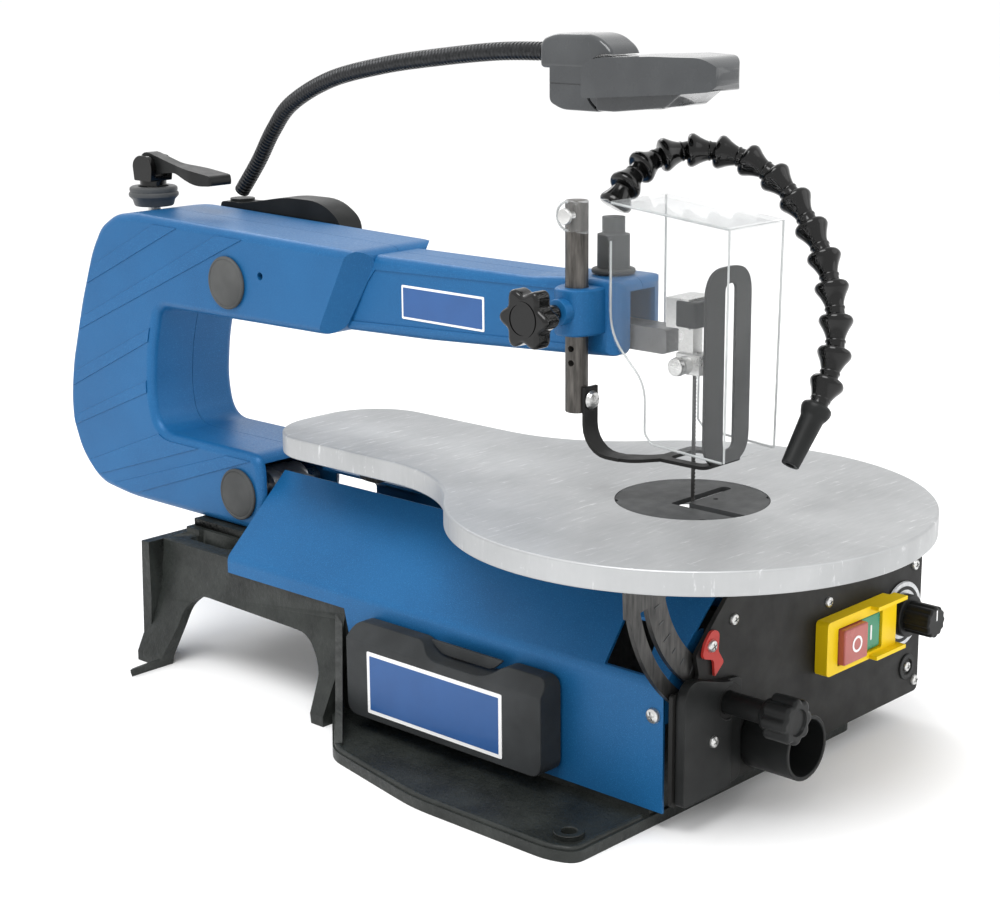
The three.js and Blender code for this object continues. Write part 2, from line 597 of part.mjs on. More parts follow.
function postKnob() {
  const x = -70;
  let body = join(
    rodX(2.8, -48, -35, POST.y, 253, 14),
    rodX(4.5, -56, -45, POST.y, 253, 16),
    turned([[0, 0], [13.5, 0], [16.5, 3], [16.5, 10], [9, 15], [6, 17], [0, 17]], X, [x, POST.y, 253],
      28));
  for (let i = 0; i < 6; i += 1) {
    const a = (i + 0.5) * Math.PI / 3;
    body = cut(body, rodX(5, x - 1, x + 18, POST.y + 19.5 * Math.cos(a), 253 + 19.5 * Math.sin(a), 14));
  }
  return body;
}

function guardShell() {
  const wall = 1.6;
  const half = 23;
  const side = outline([[-35.5, 184.3], [10, 187], [15, 192], [15, 216], [38, 240], [38, 290], [44,
    294.2],
    [60, 294.2], [60, 309.8], [38, 309.2], [-38, 302]], [2, 6, 4, 14, 14, 2, 2, 7, 7, 2, 2]);
  const outer = prismX(side, -half, half, 3);
  const hollow = outline([[-33.9, 175], [-36.4, 300.3], [36.4, 307.2], [70, 307.6], [70, 175]]);
  const behind = box(-half + wall, half + 1, 38, 70, 280, 320);
  const body = cut(outer, prismX(hollow, -half + wall, half - wall), behind);
  const lug = prismX(outline(rectangle(44, 60, 294.2, 309.8), 6), POST.x - 11.5, POST.x - 9.5);
  const bridge = box(POST.x - 11.5, -half + wall, 39.5, 45.5, 294.2, 309.8);
  const trim = box(-half - 0.5, -half + wall + 0.5, 45.5, 62, 290, 312);
  return cut(join(cut(body, trim), lug, bridge), rodX(2.4, POST.x - 14, POST.x - 8, 52, GUARD_PIVOT_Z));
}

function guardScrew() {
  return join(rodX(2.1, POST.x - 13, POST.x - 6.3, 52, GUARD_PIVOT_Z, 12),
    turned([[0, 0], [4, 0.8], [4.4, 2.6], [0, 2.6]], X, [POST.x - 14.6, 52, GUARD_PIVOT_Z], 18));
}

function holdDownFoot() {
  const ring = cut(
    prismZ(outline(rectangle(-16.5, 16.5, -20, 13), 5), 177.5, 179.3),
    prismZ(outline(rectangle(-11, 11, -15.5, 7), 4), 170, 185));
  const loop = cut(
    prismY(outline(rectangle(-16.5, 20.5, 177.5, 279), 15), -20, -18.2, 8),
    prismY(outline(rectangle(-1.5, 8, 185, 270.5), 4), -25, -10, 8));
  const x = POST.x + 2.2;
  const bend = [0, -15, -30, -45, -60, -75, -90].map((degrees) => degrees * Math.PI / 180);
  const face = (r) => bend.map((t) => [32.7 + r * Math.cos(t), 193.4 + r * Math.sin(t)]);
  const section = [[48.6, 213], ...face(15.9), [24, 177.5], [24, 179.3], ...face(14.1).reverse(),
    [46.8, 213]];
  const strap = prismX(outline(section), x - 5.2, x + 5.2);
  const shoulder = prismZ(outline([[x - 5.2, 27], [x + 5.2, 27], [-14, 17], [-8, 13], [-8, 8], [-16,
    8], [x - 3, 17]],
    [0, 0, 4, 0, 0, 0, 6]), 177.5, 179.3);
  return cut(join(ring, loop, strap, shoulder), rodY(2.4, 40, 50, x, 206));
}

function footScrew() {
  return join(rodY(2.1, 44, 48.8, POST.x + 2.2, 206, 12),
    turned([[0, 0], [4, 0.8], [5, 2.6], [0, 2.6]], Y, [POST.x + 2.2, 43.9, 206], 20));
}

add('guard_post', guardPost(), DARK_STEEL);
add('post_knob', postKnob(), BLACK);
add('guard_shell', guardShell(), CLEAR);
add('guard_screw', guardScrew(), STEEL);
add('hold_down_foot', holdDownFoot(), BLACK);
add('foot_screw', footScrew(), STEEL);

// ---- air hose -------------------------------------------------------------------------------
const HOSE = [[0, 54, 303], [5, 52, 312], [17, 51.5, 321], [31, 48, 327], [43, 39.5, 329.5], [52, 27.5,
  329],
  [58.5, 13.5, 325.5], [61.5, -1.5, 318], [61.5, -15, 307.5], [59, -27.5, 294.5], [55.5, -38.5, 281],
  [51, -47, 267], [46, -54, 251.5], [39.5, -58.5, 236], [31, -60.5, 222], [22, -61, 210.5]];
const NOZZLE_TIP = [2, -59, 183.5];

function airFitting() {
  const profile = [[0, 0], [11.5, 0], [11.5, 2], [8.5, 2.4], [8.5, 20], [6, 20.5], [6, 29], [0, 29]];
  return turned(profile, Z, [FITTING.x, FITTING.y, FITTING.z + GAP], 20);
}

// One link: a waisted socket that swallows the ball of the link before it.
function hoseLink(from, to) {
  const a = new THREE.Vector3(...from);
  const b = new THREE.Vector3(...to);
  const direction = b.clone().sub(a).normalize();
  const length = a.distanceTo(b);
  const profile = [[0, 0], [7.6, 0], [8, 2.5], [5.4, 7], [4.6, length * 0.62], [5.6, length * 0.85],
    [5, length + 1.2],
    [0, length + 1.2]];
  return turned(profile, direction.toArray(), from, 12);
}

function hoseChain(first, last, trimmed) {
  const links = [];
  for (let i = first; i < last; i += 1) links.push(hoseLink(HOSE[i], HOSE[i + 1]));
  const chain = join(...links);
  if (!trimmed) return chain;
  return cut(chain, solid(new THREE.SphereGeometry(8.9, 16, 12).translate(...HOSE[last])));
}

function hoseNozzle() {
  const start = new THREE.Vector3(...HOSE[HOSE.length - 1]);
  const tip = new THREE.Vector3(...NOZZLE_TIP);
  const direction = tip.clone().sub(start).normalize();
  const length = start.distanceTo(tip);
  const profile = [[0, 0], [7.4, 0], [7.8, 2.5], [5.6, 7], [4.6, length], [2.4, length], [2.4,
    length - 8], [0, length - 8]];
  return turned(profile, direction.toArray(), HOSE[HOSE.length - 1], 14);
}

add('air_fitting', airFitting(), GREY);
add('hose_lower', hoseChain(0, 5, true), BLACK);
add('hose_middle', hoseChain(5, 10, true), BLACK);
add('hose_upper', hoseChain(10, 15, true), BLACK);
add('hose_nozzle', hoseNozzle(), BLACK);

// ---- work lamp ------------------------------------------------------------------------------
const NECK = [[44, 404, 280.5], [41, 383, 301], [36, 362, 322], [31, 338, 340], [26, 297, 356.3], [22,
  249, 366.3],
  [19, 204, 372.5], [15.5, 150, 378], [14, LAMP.neckY, 379.5]];

function lampBase() {
  const x0 = HOUSING_HALF + GAP;
  const plate = outline([[300, 256], [300, 270], [318, 281], [352, 281], [392, 274], [414, 274], [414,
    256]],
    [6, 8, 12, 12, 6, 4, 6]);
  return join(prismX(plate, x0, x0 + 18), rodZ(8, 268, 275.7, LAMP.x, LAMP.y, 20));
}

function lampElbow() {
  const profile = outline([[101, 354], [92, 350.3], [66, 350.3], [57, 372], [56.5, 378], [59, 383],
    [70, 390],
    [98, 389.6], [107.5, 386], [107.5, 372.5], [101, 371]], [3, 4, 2, 2, 1, 5, 8, 6, 4, 2, 1]);
  return cut(prismX(profile, 2, 26),
    rodZ(7.2, 340, 386.5, LAMP.headX, LAMP.neckY),
    rodX(15.2, 0, 30, LAMP.pivotY, LAMP.pivotZ, 32));
}

function lampHead() {
  const profile = outline([[69, 374.5], [69, 358], [8, 362.5], [-6, 363.8], [-9.2, 368], [-9.2, 375],
    [-3, 380.5],
    [23, 380.6], [60, 378.8]], [4, 2, 0, 2, 2, 4, 6, 4, 4]);
  const plan = outline([[-9, 80], [37, 80], [37, 14], [25, -10], [3, -10], [-9, 6]], [0, 0, 14, 8, 8,
    10]);
  const bezel = outline([[64, 363], [64, 351.5], [52, 351.5], [19, 355], [8, 363]], [1, 2, 2, 2, 0]);
  const shell = prismX(profile, -12, 40).intersect(prismZ(plan, 340, 390));
  const body = cut(join(shell, prismX(bezel, -3, 31)), box(1.7, 26.3, LAMP.pivotY, 90, 340, 395));
  return cut(join(body, rodX(14, 2.5, 25.5, LAMP.pivotY, LAMP.pivotZ, 32)), rodZ(13.5, 340, 366,
    LAMP.headX, LENS_Y, 28));
}

add('lamp_base', lampBase(), BLACK);
add('gooseneck', bar(NECK, 5, 40), BLACK);
add('lamp_elbow', lampElbow(), BLACK);
add('lamp_head', lampHead(), BLACK);
add('lamp_lens', turned([[0, 0], [8, 0.6], [13, 5], [13, 13], [0, 13]], Z, [LAMP.headX, LENS_Y, 352.5],
  28), CLEAR);

// ---- storage box ----------------------------------------------------------------------------
function storageBox() {
  const x0 = -80.5;
  const x1 = -SKIRT_X - 1.2;
  const face = outline([[34, 15.5], [180, 15.5], [180, 68.5], [124, 68.5], [116, 60.5], [76, 60.5],
    [69, 68.5],
    [34, 68.5]], [8, 8, 8, 3, 4, 4, 3, 8]);
  const section = outline([[x0 + 3, 10], [x1, 10], [x1, 80], [-74, 80], [-74, 68], [x0, 61], [x0, 16]],
    [2, 0, 0, 0, 2, 3, 2]);
  const body = prismX(face, x0, x1).intersect(prismY(section, 20, 200));
  return cut(body, box(x0 + 2.2, x1 - 1.8, 37, 177, 18, 90));
}

add('storage_box', storageBox(), GREY);
add('storage_latch', box(-SKIRT_X - 3.6, -SKIRT_X - GAP, 98, 114, 61.4, 64.2), BLACK);

export default saw;
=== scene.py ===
"""Scroll saw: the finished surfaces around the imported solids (Blender 4.5)."""

import json
import math

import bmesh
import bpy
from mathutils import Matrix, Vector


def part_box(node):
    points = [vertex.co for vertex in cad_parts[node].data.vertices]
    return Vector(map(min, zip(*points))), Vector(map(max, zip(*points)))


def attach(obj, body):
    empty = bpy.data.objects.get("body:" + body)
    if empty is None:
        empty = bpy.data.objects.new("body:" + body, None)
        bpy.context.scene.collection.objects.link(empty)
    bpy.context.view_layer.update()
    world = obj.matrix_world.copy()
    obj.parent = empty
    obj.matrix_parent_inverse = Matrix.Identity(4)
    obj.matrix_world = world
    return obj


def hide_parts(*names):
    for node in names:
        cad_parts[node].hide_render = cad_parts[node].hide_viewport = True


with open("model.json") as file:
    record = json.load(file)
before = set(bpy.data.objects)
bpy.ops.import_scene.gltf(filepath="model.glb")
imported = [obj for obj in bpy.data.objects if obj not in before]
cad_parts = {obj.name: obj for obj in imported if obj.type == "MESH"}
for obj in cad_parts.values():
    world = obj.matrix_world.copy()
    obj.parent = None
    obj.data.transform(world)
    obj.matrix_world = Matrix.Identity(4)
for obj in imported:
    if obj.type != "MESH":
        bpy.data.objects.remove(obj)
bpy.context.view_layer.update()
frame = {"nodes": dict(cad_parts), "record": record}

# ---- the saw's own working frame ----
# Shapes are drawn in millimetres with the blade at x = 0, y = 0 and the bench at z = 0.
BLADE_LOW, BLADE_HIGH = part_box("blade")
ORIGIN = Vector(((BLADE_LOW.x + BLADE_HIGH.x) / 2, BLADE_LOW.y + 0.0016, 0))
TO_METRES = Matrix.Translation(ORIGIN) @ Matrix.Scale(0.001, 4)

TABLE_TOP = 156
TABLE_T = 12.5
TABLE_R = 127.35
TABLE_CENTRE_Y = 2.2
TABLE_REAR = 289.7
TAIL_HALF = 49
INSERT_R = 40
TILT_Z = 145.5
PANEL_Y = -40
SKIRT_X = 63
SKIRT_FRONT = -32.5
SKIRT_REAR = 303
SKIRT_FOLD_Z = 77.6
SLOPE = math.tan(math.radians(43.1))
HOUSING_HALF = 33.5
ARM_HALF = 20
UPPER_PIVOT = (328, 238)
LOWER_PIVOT = (325, 107)
TENSION_Y = 439.5
POST_X, POST_Y, POST_R = -28, 55, 6
GUARD_PIVOT_Z = 302
LOCK_X, LOCK_Z = -26, 63
DIAL_X, DIAL_Z = 141, 67
DUST_X, DUST_Z, DUST_R = 8, 34.5, 17.5
SWITCH = (57, 124, 53.5, 84)
BUTTON_Z = 68
CLAMP_Z = 253
BOX_FACE_X = -80.5

X = Vector((1, 0, 0))
Y = Vector((0, 1, 0))
Z = Vector((0, 0, 1))

# ---- camera, floor and light ----
CAMERA_AT = Vector((-818.0, -631.4, 439.7))
CAMERA_AZIMUTH = math.radians(-47.183)
CAMERA_ELEVATION = math.radians(14.319)
CAMERA_ROLL = math.radians(0.392)


def make_camera():
    data = bpy.data.cameras.new("camera")
    data.sensor_width = 36
    data.lens = 74.25
    data.shift_x = -0.0127
    data.shift_y = 0.0097
    camera = bpy.data.objects.new("camera", data)
    level = math.cos(CAMERA_ELEVATION)
    back = Vector((math.sin(CAMERA_AZIMUTH) * level, -math.cos(CAMERA_AZIMUTH) * level,
                   math.sin(CAMERA_ELEVATION)))
    right = Z.cross(back).normalized()
    up = back.cross(right)
    turned_right = right * math.cos(CAMERA_ROLL) - up * math.sin(CAMERA_ROLL)
    turned_up = right * math.sin(CAMERA_ROLL) + up * math.cos(CAMERA_ROLL)
    axes = Matrix((turned_right, turned_up, back)).transposed().to_4x4()
    camera.matrix_world = Matrix.Translation(TO_METRES @ CAMERA_AT) @ axes
    bpy.context.scene.collection.objects.link(camera)
    bpy.context.scene.camera = camera


def make_area_light(name, place, target, size, power):
    data = bpy.data.lights.new(name, "AREA")
    data.shape = "DISK"
    data.size = size
    data.energy = power
    light = bpy.data.objects.new(name, data)
    direction = Vector(target) - Vector(place)
    light.matrix_world = Matrix.Translation(place) @ direction.to_track_quat("-Z", "Y").to_matrix().to_4x4()
    bpy.context.scene.collection.objects.link(light)


def make_studio():
    world = bpy.data.worlds.new("studio")
    world.use_nodes = True
    background = world.node_tree.nodes["Background"]
    background.inputs["Color"].default_value = (1, 1, 1, 1)
    background.inputs["Strength"].default_value = 1.06
    bpy.context.scene.world = world
    bpy.context.scene.view_settings.view_transform = "Standard"
    middle = (0, 0, 0.15)
    make_area_light("key", (-0.9, -0.4, 1.9), middle, 1.2, 27)
    make_area_light("fill", (0.9, -1.6, 1.0), middle, 1.4, 5)
    make_area_light("rim", (0.7, 1.4, 1.5), middle, 1.0, 8)


def make_floor():
    mesh = bpy.data.meshes.new("floor")
    half = 30
    mesh.from_pydata([(-half, -half, 0), (half, -half, 0), (half, half, 0), (-half, half, 0)], [],
                     [(0, 1, 2, 3)])
    floor = bpy.data.objects.new("floor", mesh)
    bpy.context.scene.collection.objects.link(floor)
    material = bpy.data.materials.new("floor")
    material.use_nodes = True
    shader = material.node_tree.nodes["Principled BSDF"]
    shader.inputs["Base Color"].default_value = (0.96, 0.96, 0.96, 1)
    shader.inputs["Roughness"].default_value = 0.8
    mesh.materials.append(material)


# ---- materials ----
class Surface:
    """A node material on one Principled shader, in object space."""

    def __init__(self, name, roughness=0.5, metallic=0.0, coat=0.0, specular=0.5):
        self.material = bpy.data.materials.new(name)
        self.material.use_nodes = True
        self.tree = self.material.node_tree
        self.shader = self.tree.nodes["Principled BSDF"]
        self.shader.inputs["Roughness"].default_value = roughness
        self.shader.inputs["Metallic"].default_value = metallic
        self.shader.inputs["Coat Weight"].default_value = coat
        self.shader.inputs["Specular IOR Level"].default_value = specular
        self.place = self.tree.nodes.new("ShaderNodeTexCoord").outputs["Object"]
        self.height = None

    def link(self, a, b):
        self.tree.links.new(a, b)

    def add(self, kind, values):
        node = self.tree.nodes.new(kind)
        for name, value in values.items():
            node.inputs[name].default_value = value
        return node

    def stretch(self, scale, turn=(0, 0, 0)):
        mapping = self.add("ShaderNodeMapping", {"Scale": scale, "Rotation": turn})
        self.link(self.place, mapping.inputs["Vector"])
        return mapping.outputs["Vector"]

    def noise(self, scale, detail=3.0, rough=0.55, place=None):
        node = self.add("ShaderNodeTexNoise", {"Scale": scale, "Detail": detail, "Roughness": rough})
        self.link(place or self.place, node.inputs["Vector"])
        return node.outputs["Fac"]

    def ramp(self, value, low, high, to_low=0.0, to_high=1.0):
        node = self.add("ShaderNodeMapRange",
                        {"From Min": low, "From Max": high, "To Min": to_low, "To Max": to_high})
        self.link(value, node.inputs["Value"])
        return node.outputs["Result"]

    def blend(self, value, first, second):
        node = self.tree.nodes.new("ShaderNodeMix")
        node.data_type = "RGBA"
        for socket, colour in (("A", first), ("B", second)):
            target = [i for i in node.inputs if i.name == socket and i.type == "RGBA"][0]
            if isinstance(colour, tuple):
                target.default_value = (*colour, 1)
            else:
                self.link(colour, target)
        self.link(value, node.inputs["Factor"])
        return [o for o in node.outputs if o.type == "RGBA"][0]

    def colour(self, output):
        self.link(output, self.shader.inputs["Base Color"])

    def rough(self, output):
        self.link(output, self.shader.inputs["Roughness"])

    def bump(self, output, depth_mm):
        node = self.add("ShaderNodeBump", {"Distance": depth_mm * 0.001, "Strength": 1.0})
        self.link(output, node.inputs["Height"])
        if self.height is not None:
            self.link(self.height, node.inputs["Normal"])
        self.height = node.outputs["Normal"]
        self.link(self.height, self.shader.inputs["Normal"])


def moulded(name, colour, lighter, roughness, grain_mm=0.03, coat=0.0):
    """Moulded plastic or painted sheet: fine grain, faint clouding, uneven gloss."""
    s = Surface(name, coat=coat, specular=0.2)
    s.colour(s.blend(s.ramp(s.noise(28), 0.35, 0.7), colour, lighter))
    s.rough(s.ramp(s.noise(90, 4), 0.3, 0.7, roughness - 0.06, roughness + 0.08))
    s.bump(s.noise(2600, 2), grain_mm)
    return s.material


def blue_enamel():
    """Satin blue enamel over a fine texture, with a lighter blue flake in it."""
    s = Surface("blue_enamel", metallic=0.15, coat=0.05, specular=0.25)
    s.shader.inputs["Coat Roughness"].default_value = 0.35
    cloud = s.ramp(s.noise(14, 4), 0.3, 0.75)
    base = s.blend(cloud, (0.006, 0.084, 0.225), (0.008, 0.106, 0.275))
    flake = s.ramp(s.noise(2400, 2), 0.56, 0.75)
    s.colour(s.blend(flake, base, (0.03, 0.20, 0.44)))
    s.rough(s.ramp(s.noise(700, 3), 0.3, 0.7, 0.36, 0.48))
    s.bump(s.noise(1500, 3), 0.05)
    return s.material


def black_casting():
    """Thick black paint over a sand casting: orange peel, pits and a clouded tone."""
    s = Surface("black_casting", coat=0.12, specular=0.25)
    s.shader.inputs["Coat Roughness"].default_value = 0.3
    s.colour(s.blend(s.ramp(s.noise(40, 5), 0.35, 0.75), (0.010, 0.012, 0.011), (0.030, 0.034, 0.031)))
    s.rough(s.ramp(s.noise(300, 4), 0.3, 0.7, 0.38, 0.62))
    s.bump(s.noise(330, 5, 0.6), 0.5)
    s.bump(s.noise(90, 3), 0.6)
    return s.material


def ground_table():
    """Machined aluminium casting: short bright grinding marks over a cloudy grey."""
    s = Surface("ground_table", metallic=0.55)
    cloud = s.ramp(s.noise(16, 5), 0.3, 0.7)
    base = s.blend(cloud, (0.35, 0.357, 0.362), (0.45, 0.458, 0.463))
    streaks = s.noise(60, 4, 0.7, s.stretch((1.0, 7.0, 1.0), (0, 0, math.radians(24))))
    cross = s.noise(70, 4, 0.7, s.stretch((7.0, 1.0, 1.0), (0, 0, math.radians(-12))))
    marked = s.blend(s.ramp(streaks, 0.62, 0.74), base, (0.62, 0.63, 0.635))
    s.colour(s.blend(s.ramp(cross, 0.64, 0.76), marked, (0.65, 0.66, 0.665)))
    s.rough(s.ramp(streaks, 0.35, 0.7, 0.50, 0.34))
    s.bump(streaks, 0.05)
    s.bump(s.noise(900, 3), 0.02)
    return s.material


def metal(name, colour, lighter, roughness, grain=(1, 1, 12), metallic=0.9):
    """Plated or machined metal with a fine directional grain."""
    s = Surface(name, metallic=metallic)
    lines = s.noise(420, 3, 0.6, s.stretch(grain))
    s.colour(s.blend(s.ramp(lines, 0.3, 0.7), colour, lighter))
    s.rough(s.ramp(s.noise(120, 3), 0.3, 0.7, roughness - 0.07, roughness + 0.1))
    s.bump(lines, 0.012)
    return s.material


def clear_sheet():
    """Clear polycarbonate: see-through face on, denser at its edges and bends."""
    s = Surface("clear_polycarbonate", roughness=0.06, coat=0.3)
    facing = s.tree.nodes.new("ShaderNodeLayerWeight")
    facing.inputs["Blend"].default_value = 0.35
    s.colour(s.blend(s.ramp(s.noise(8, 2), 0.3, 0.7), (0.52, 0.54, 0.55), (0.60, 0.62, 0.63)))
    s.link(s.ramp(facing.outputs["Facing"], 0.3, 1.0, 0.055, 0.6), s.shader.inputs["Alpha"])
    s.bump(s.noise(120, 2), 0.004)
    return s.material


def edge_highlight_plastic():
    """The cut edges of the clear sheet, coloured light grey as a painted highlight where they catch the
    light.
    """
    s = Surface("clear_edge_painted_highlight", roughness=0.12)
    s.colour(s.blend(s.ramp(s.noise(60, 2), 0.3, 0.7), (0.40, 0.42, 0.42), (0.58, 0.60, 0.60)))
    s.shader.inputs["Alpha"].default_value = 0.75
    return s.material


def printed(name, colour, lighter):
    """A printed plate: flat ink under a thin gloss film."""
    s = Surface(name, roughness=0.45, coat=0.1)
    s.colour(s.blend(s.ramp(s.noise(55, 3), 0.3, 0.7), colour, lighter))
    s.bump(s.noise(1800, 2), 0.008)
    return s.material


BLUE = blue_enamel()
CAST = black_casting()
TABLE = ground_table()
CLEAR = clear_sheet()
# Light grey, nearly opaque: a painted highlight for the guard's bright edges.
CLEAR_EDGE_HIGHLIGHT = edge_highlight_plastic()
BLACK_STEEL = moulded("black_steel", (0.007, 0.007, 0.007), (0.015, 0.015, 0.014), 0.5, 0.02)
BLACK = moulded("black_plastic", (0.006, 0.0065, 0.0065), (0.013, 0.014, 0.014), 0.42, 0.03)
GLOSS_BLACK = moulded("gloss_black_plastic", (0.002, 0.002, 0.002), (0.005, 0.005, 0.005), 0.14, 0.008, 0.3)
CHARCOAL = moulded("charcoal_plastic", (0.022, 0.024, 0.025), (0.040, 0.043, 0.045), 0.5, 0.05)
INSERT = moulded("insert_plastic", (0.032, 0.034, 0.035), (0.050, 0.052, 0.053), 0.50, 0.03)
GREY = moulded("grey_plastic", (0.055, 0.058, 0.060), (0.085, 0.088, 0.090), 0.42, 0.02)
RUBBER = moulded("grey_rubber", (0.050, 0.052, 0.052), (0.085, 0.087, 0.086), 0.62, 0.05)
YELLOW = moulded("yellow_plastic", (0.80, 0.55, 0.006), (0.88, 0.63, 0.010), 0.36, 0.012)
RED = moulded("red_plastic", (0.42, 0.030, 0.024), (0.52, 0.050, 0.040), 0.34, 0.012)
BUTTON_RED = moulded("button_red", (0.38, 0.085, 0.070), (0.47, 0.13, 0.11), 0.22, 0.008, 0.4)
GREEN = moulded("button_green", (0.020, 0.22, 0.11), (0.035, 0.28, 0.15), 0.22, 0.008, 0.4)
WHITE = printed("white_print", (0.80, 0.80, 0.80), (0.88, 0.88, 0.88))
PLATE_BLUE = printed("blue_print", (0.008, 0.070, 0.235), (0.010, 0.080, 0.265))
STEEL = metal("plated_steel", (0.50, 0.50, 0.49), (0.70, 0.70, 0.69), 0.30)
DARK_STEEL = metal("dark_steel", (0.035, 0.035, 0.035), (0.085, 0.083, 0.08), 0.38, (1, 1, 0.15), 0.8)
NECK_STEEL = metal("blackened_steel", (0.014, 0.015, 0.016), (0.035, 0.036, 0.038), 0.30, (1, 1, 1), 0.7)
DARK_ALLOY = metal("dark_alloy", (0.10, 0.10, 0.10), (0.20, 0.20, 0.20), 0.42, (1, 8, 1), 0.7)
BURNT_STEEL = metal("burnt_steel", (0.045, 0.042, 0.038), (0.14, 0.13, 0.12), 0.42, (1, 1, 0.12), 0.7)
LAMP_PLASTIC = moulded("lamp_plastic", (0.040, 0.043, 0.046), (0.056, 0.060, 0.063), 0.26, 0.012, 0.7)
LENS = moulded("lamp_lens", (0.34, 0.33, 0.32), (0.55, 0.54, 0.53), 0.18, 0.03, 0.4)
ALLOY = metal("bare_alloy", (0.46, 0.47, 0.48), (0.60, 0.61, 0.62), 0.42, (1, 8, 1), 0.85)


# ---- shapes ----
def rectangle(a0, a1, b0, b1):
    return [(a0, b0), (a1, b0), (a1, b1), (a0, b1)]


def towards(start, end, distance):
    length = math.dist(start, end)
    t = min(distance, length * 0.49) / length
    return (start[0] + (end[0] - start[0]) * t, start[1] + (end[1] - start[1]) * t)


def rounded(points, radius, steps=6):
    """The outline with each corner rounded; radius is one number or one for each corner."""
    loop = []
    for i, corner in enumerate(points):
        r = radius[i] if isinstance(radius, (list, tuple)) else radius
        if r <= 0:
            loop.append(corner)
            continue
        start = towards(corner, points[i - 1], r)
        end = towards(corner, points[(i + 1) % len(points)], r)
        for k in range(steps + 1):
            t = k / steps
            a, b, c = (1 - t) ** 2, 2 * t * (1 - t), t * t
            loop.append(tuple(a * start[j] + b * corner[j] + c * end[j] for j in (0, 1)))
    return loop


def arc(centre, radius, start, end, steps):
    """Points on an arc, in degrees, both ends included."""
    angles = [math.radians(start + (end - start) * k / steps) for k in range(steps + 1)]
    return [(centre[0] + radius * math.cos(a), centre[1] + radius * math.sin(a)) for a in angles]


def polar(radius_at, steps=96, centre=(0, 0)):
    angles = [2 * math.pi * k / steps for k in range(steps)]
    return [(centre[0] + radius_at(a) * math.cos(a),
             centre[1] + radius_at(a) * math.sin(a)) for a in angles]


def area_of(loop):
    return sum(a[0] * b[1] - b[0] * a[1] for a, b in zip(loop, loop[1:] + loop[:1])) / 2


def crossing(a, b, c, d):
    """Where the line through a and b meets the line through c and d."""
    ux, uy, vx, vy = b[0] - a[0], b[1] - a[1], d[0] - c[0], d[1] - c[1]
    scale = ux * vy - uy * vx
    if abs(scale) < 1e-9:
        return ((b[0] + c[0]) / 2, (b[1] + c[1]) / 2)
    t = ((c[0] - a[0]) * vy - (c[1] - a[1]) * vx) / scale
    return (a[0] + ux * t, a[1] + uy * t)


def unfold(loop, moved):
    """Draws each run of edges that turned inside out together into one point."""
    n = len(loop)

    def folded(i):
        k = (i + 1) % n
        before = (loop[k][0] - loop[i][0], loop[k][1] - loop[i][1])
        after = (moved[k][0] - moved[i][0], moved[k][1] - moved[i][1])
        return before[0] * after[0] + before[1] * after[1] < -1e-12

    for _ in range(12):
        first = next((i for i in range(n) if folded(i) and not folded((i - 1) % n)), None)
        if first is None:
            return moved
        last = first
        while folded((last + 1) % n):
            last = (last + 1) % n
        before, after = (first - 1) % n, (last + 1) % n
        point = crossing(moved[before], moved[first], moved[after], moved[(after + 1) % n])
        i = first
        while True:
            moved[i] = point
            if i == after:
                break
            i = (i + 1) % n
    return moved


def inset(loop, distance):
    """The outline moved inwards, corner by corner."""
    turn = 1 if area_of(loop) > 0 else -1
    moved = []
    for i, here in enumerate(loop):
        before, after = loop[i - 1], loop[(i + 1) % len(loop)]
        u = Vector((here[0] - before[0], here[1] - before[1])).normalized()
        v = Vector((after[0] - here[0], after[1] - here[1])).normalized()
        normal = Vector((-(u.y + v.y), u.x + v.x)).normalized()
        reach = distance * turn / max(0.4, normal.dot(Vector((-u.y, u.x))))
        moved.append((here[0] + normal.x * reach, here[1] + normal.y * reach))
    return unfold(loop, moved)


ALONG = {
    "x": lambda a, b, w: (w, a, b),
    "y": lambda a, b, w: (a, w, b),
    "z": lambda a, b, w: (a, b, w),
}


def new_object(name, vertices, faces):
    mesh = bpy.data.meshes.new(name)
    mesh.from_pydata([tuple(v) for v in vertices], [], faces)
    bm = bmesh.new()
    bm.from_mesh(mesh)
    bmesh.ops.remove_doubles(bm, verts=bm.verts, dist=1e-4)
    bmesh.ops.recalc_face_normals(bm, faces=bm.faces)
    bm.to_mesh(mesh)
    bm.free()
    obj = bpy.data.objects.new(name, mesh)
    bpy.context.scene.collection.objects.link(obj)
    return obj


def loft(name, rings):
    """A skin over rings of equal point counts, with flat ends."""
    count = len(rings[0])
    vertices = [p for ring in rings for p in ring]
    faces = []
    for r in range(len(rings) - 1):
        a, b = r * count, (r + 1) * count
        faces += [(a + i, a + (i + 1) % count, b + (i + 1) % count, b + i) for i in range(count)]
    faces.append(tuple(range(count)))
    faces.append(tuple(range(len(vertices) - count, len(vertices))))
    return new_object(name, vertices, faces)


def prism(name, loop, axis, low, high, edge=0.0, edge_high=None, steps=3):
    """An outline extruded along an axis, with its rims rounded by edge."""
    place = ALONG[axis]
    edge_high = edge if edge_high is None else edge_high
    rings = []
    for radius, wall, inward in ((edge, low, 1), (edge_high, high, -1)):
        side = []
        for k in range(steps + 1 if radius > 0 else 1):
            angle = math.pi / 2 * k / steps
            depth = radius * (1 - math.cos(angle))
            moved = inset(loop, radius * (1 - math.sin(angle))) if radius > 0 else loop
            side.append([place(a, b, wall + inward * depth) for a, b in moved])
        rings += side if inward == 1 else side[::-1]
    return loft(name, rings)


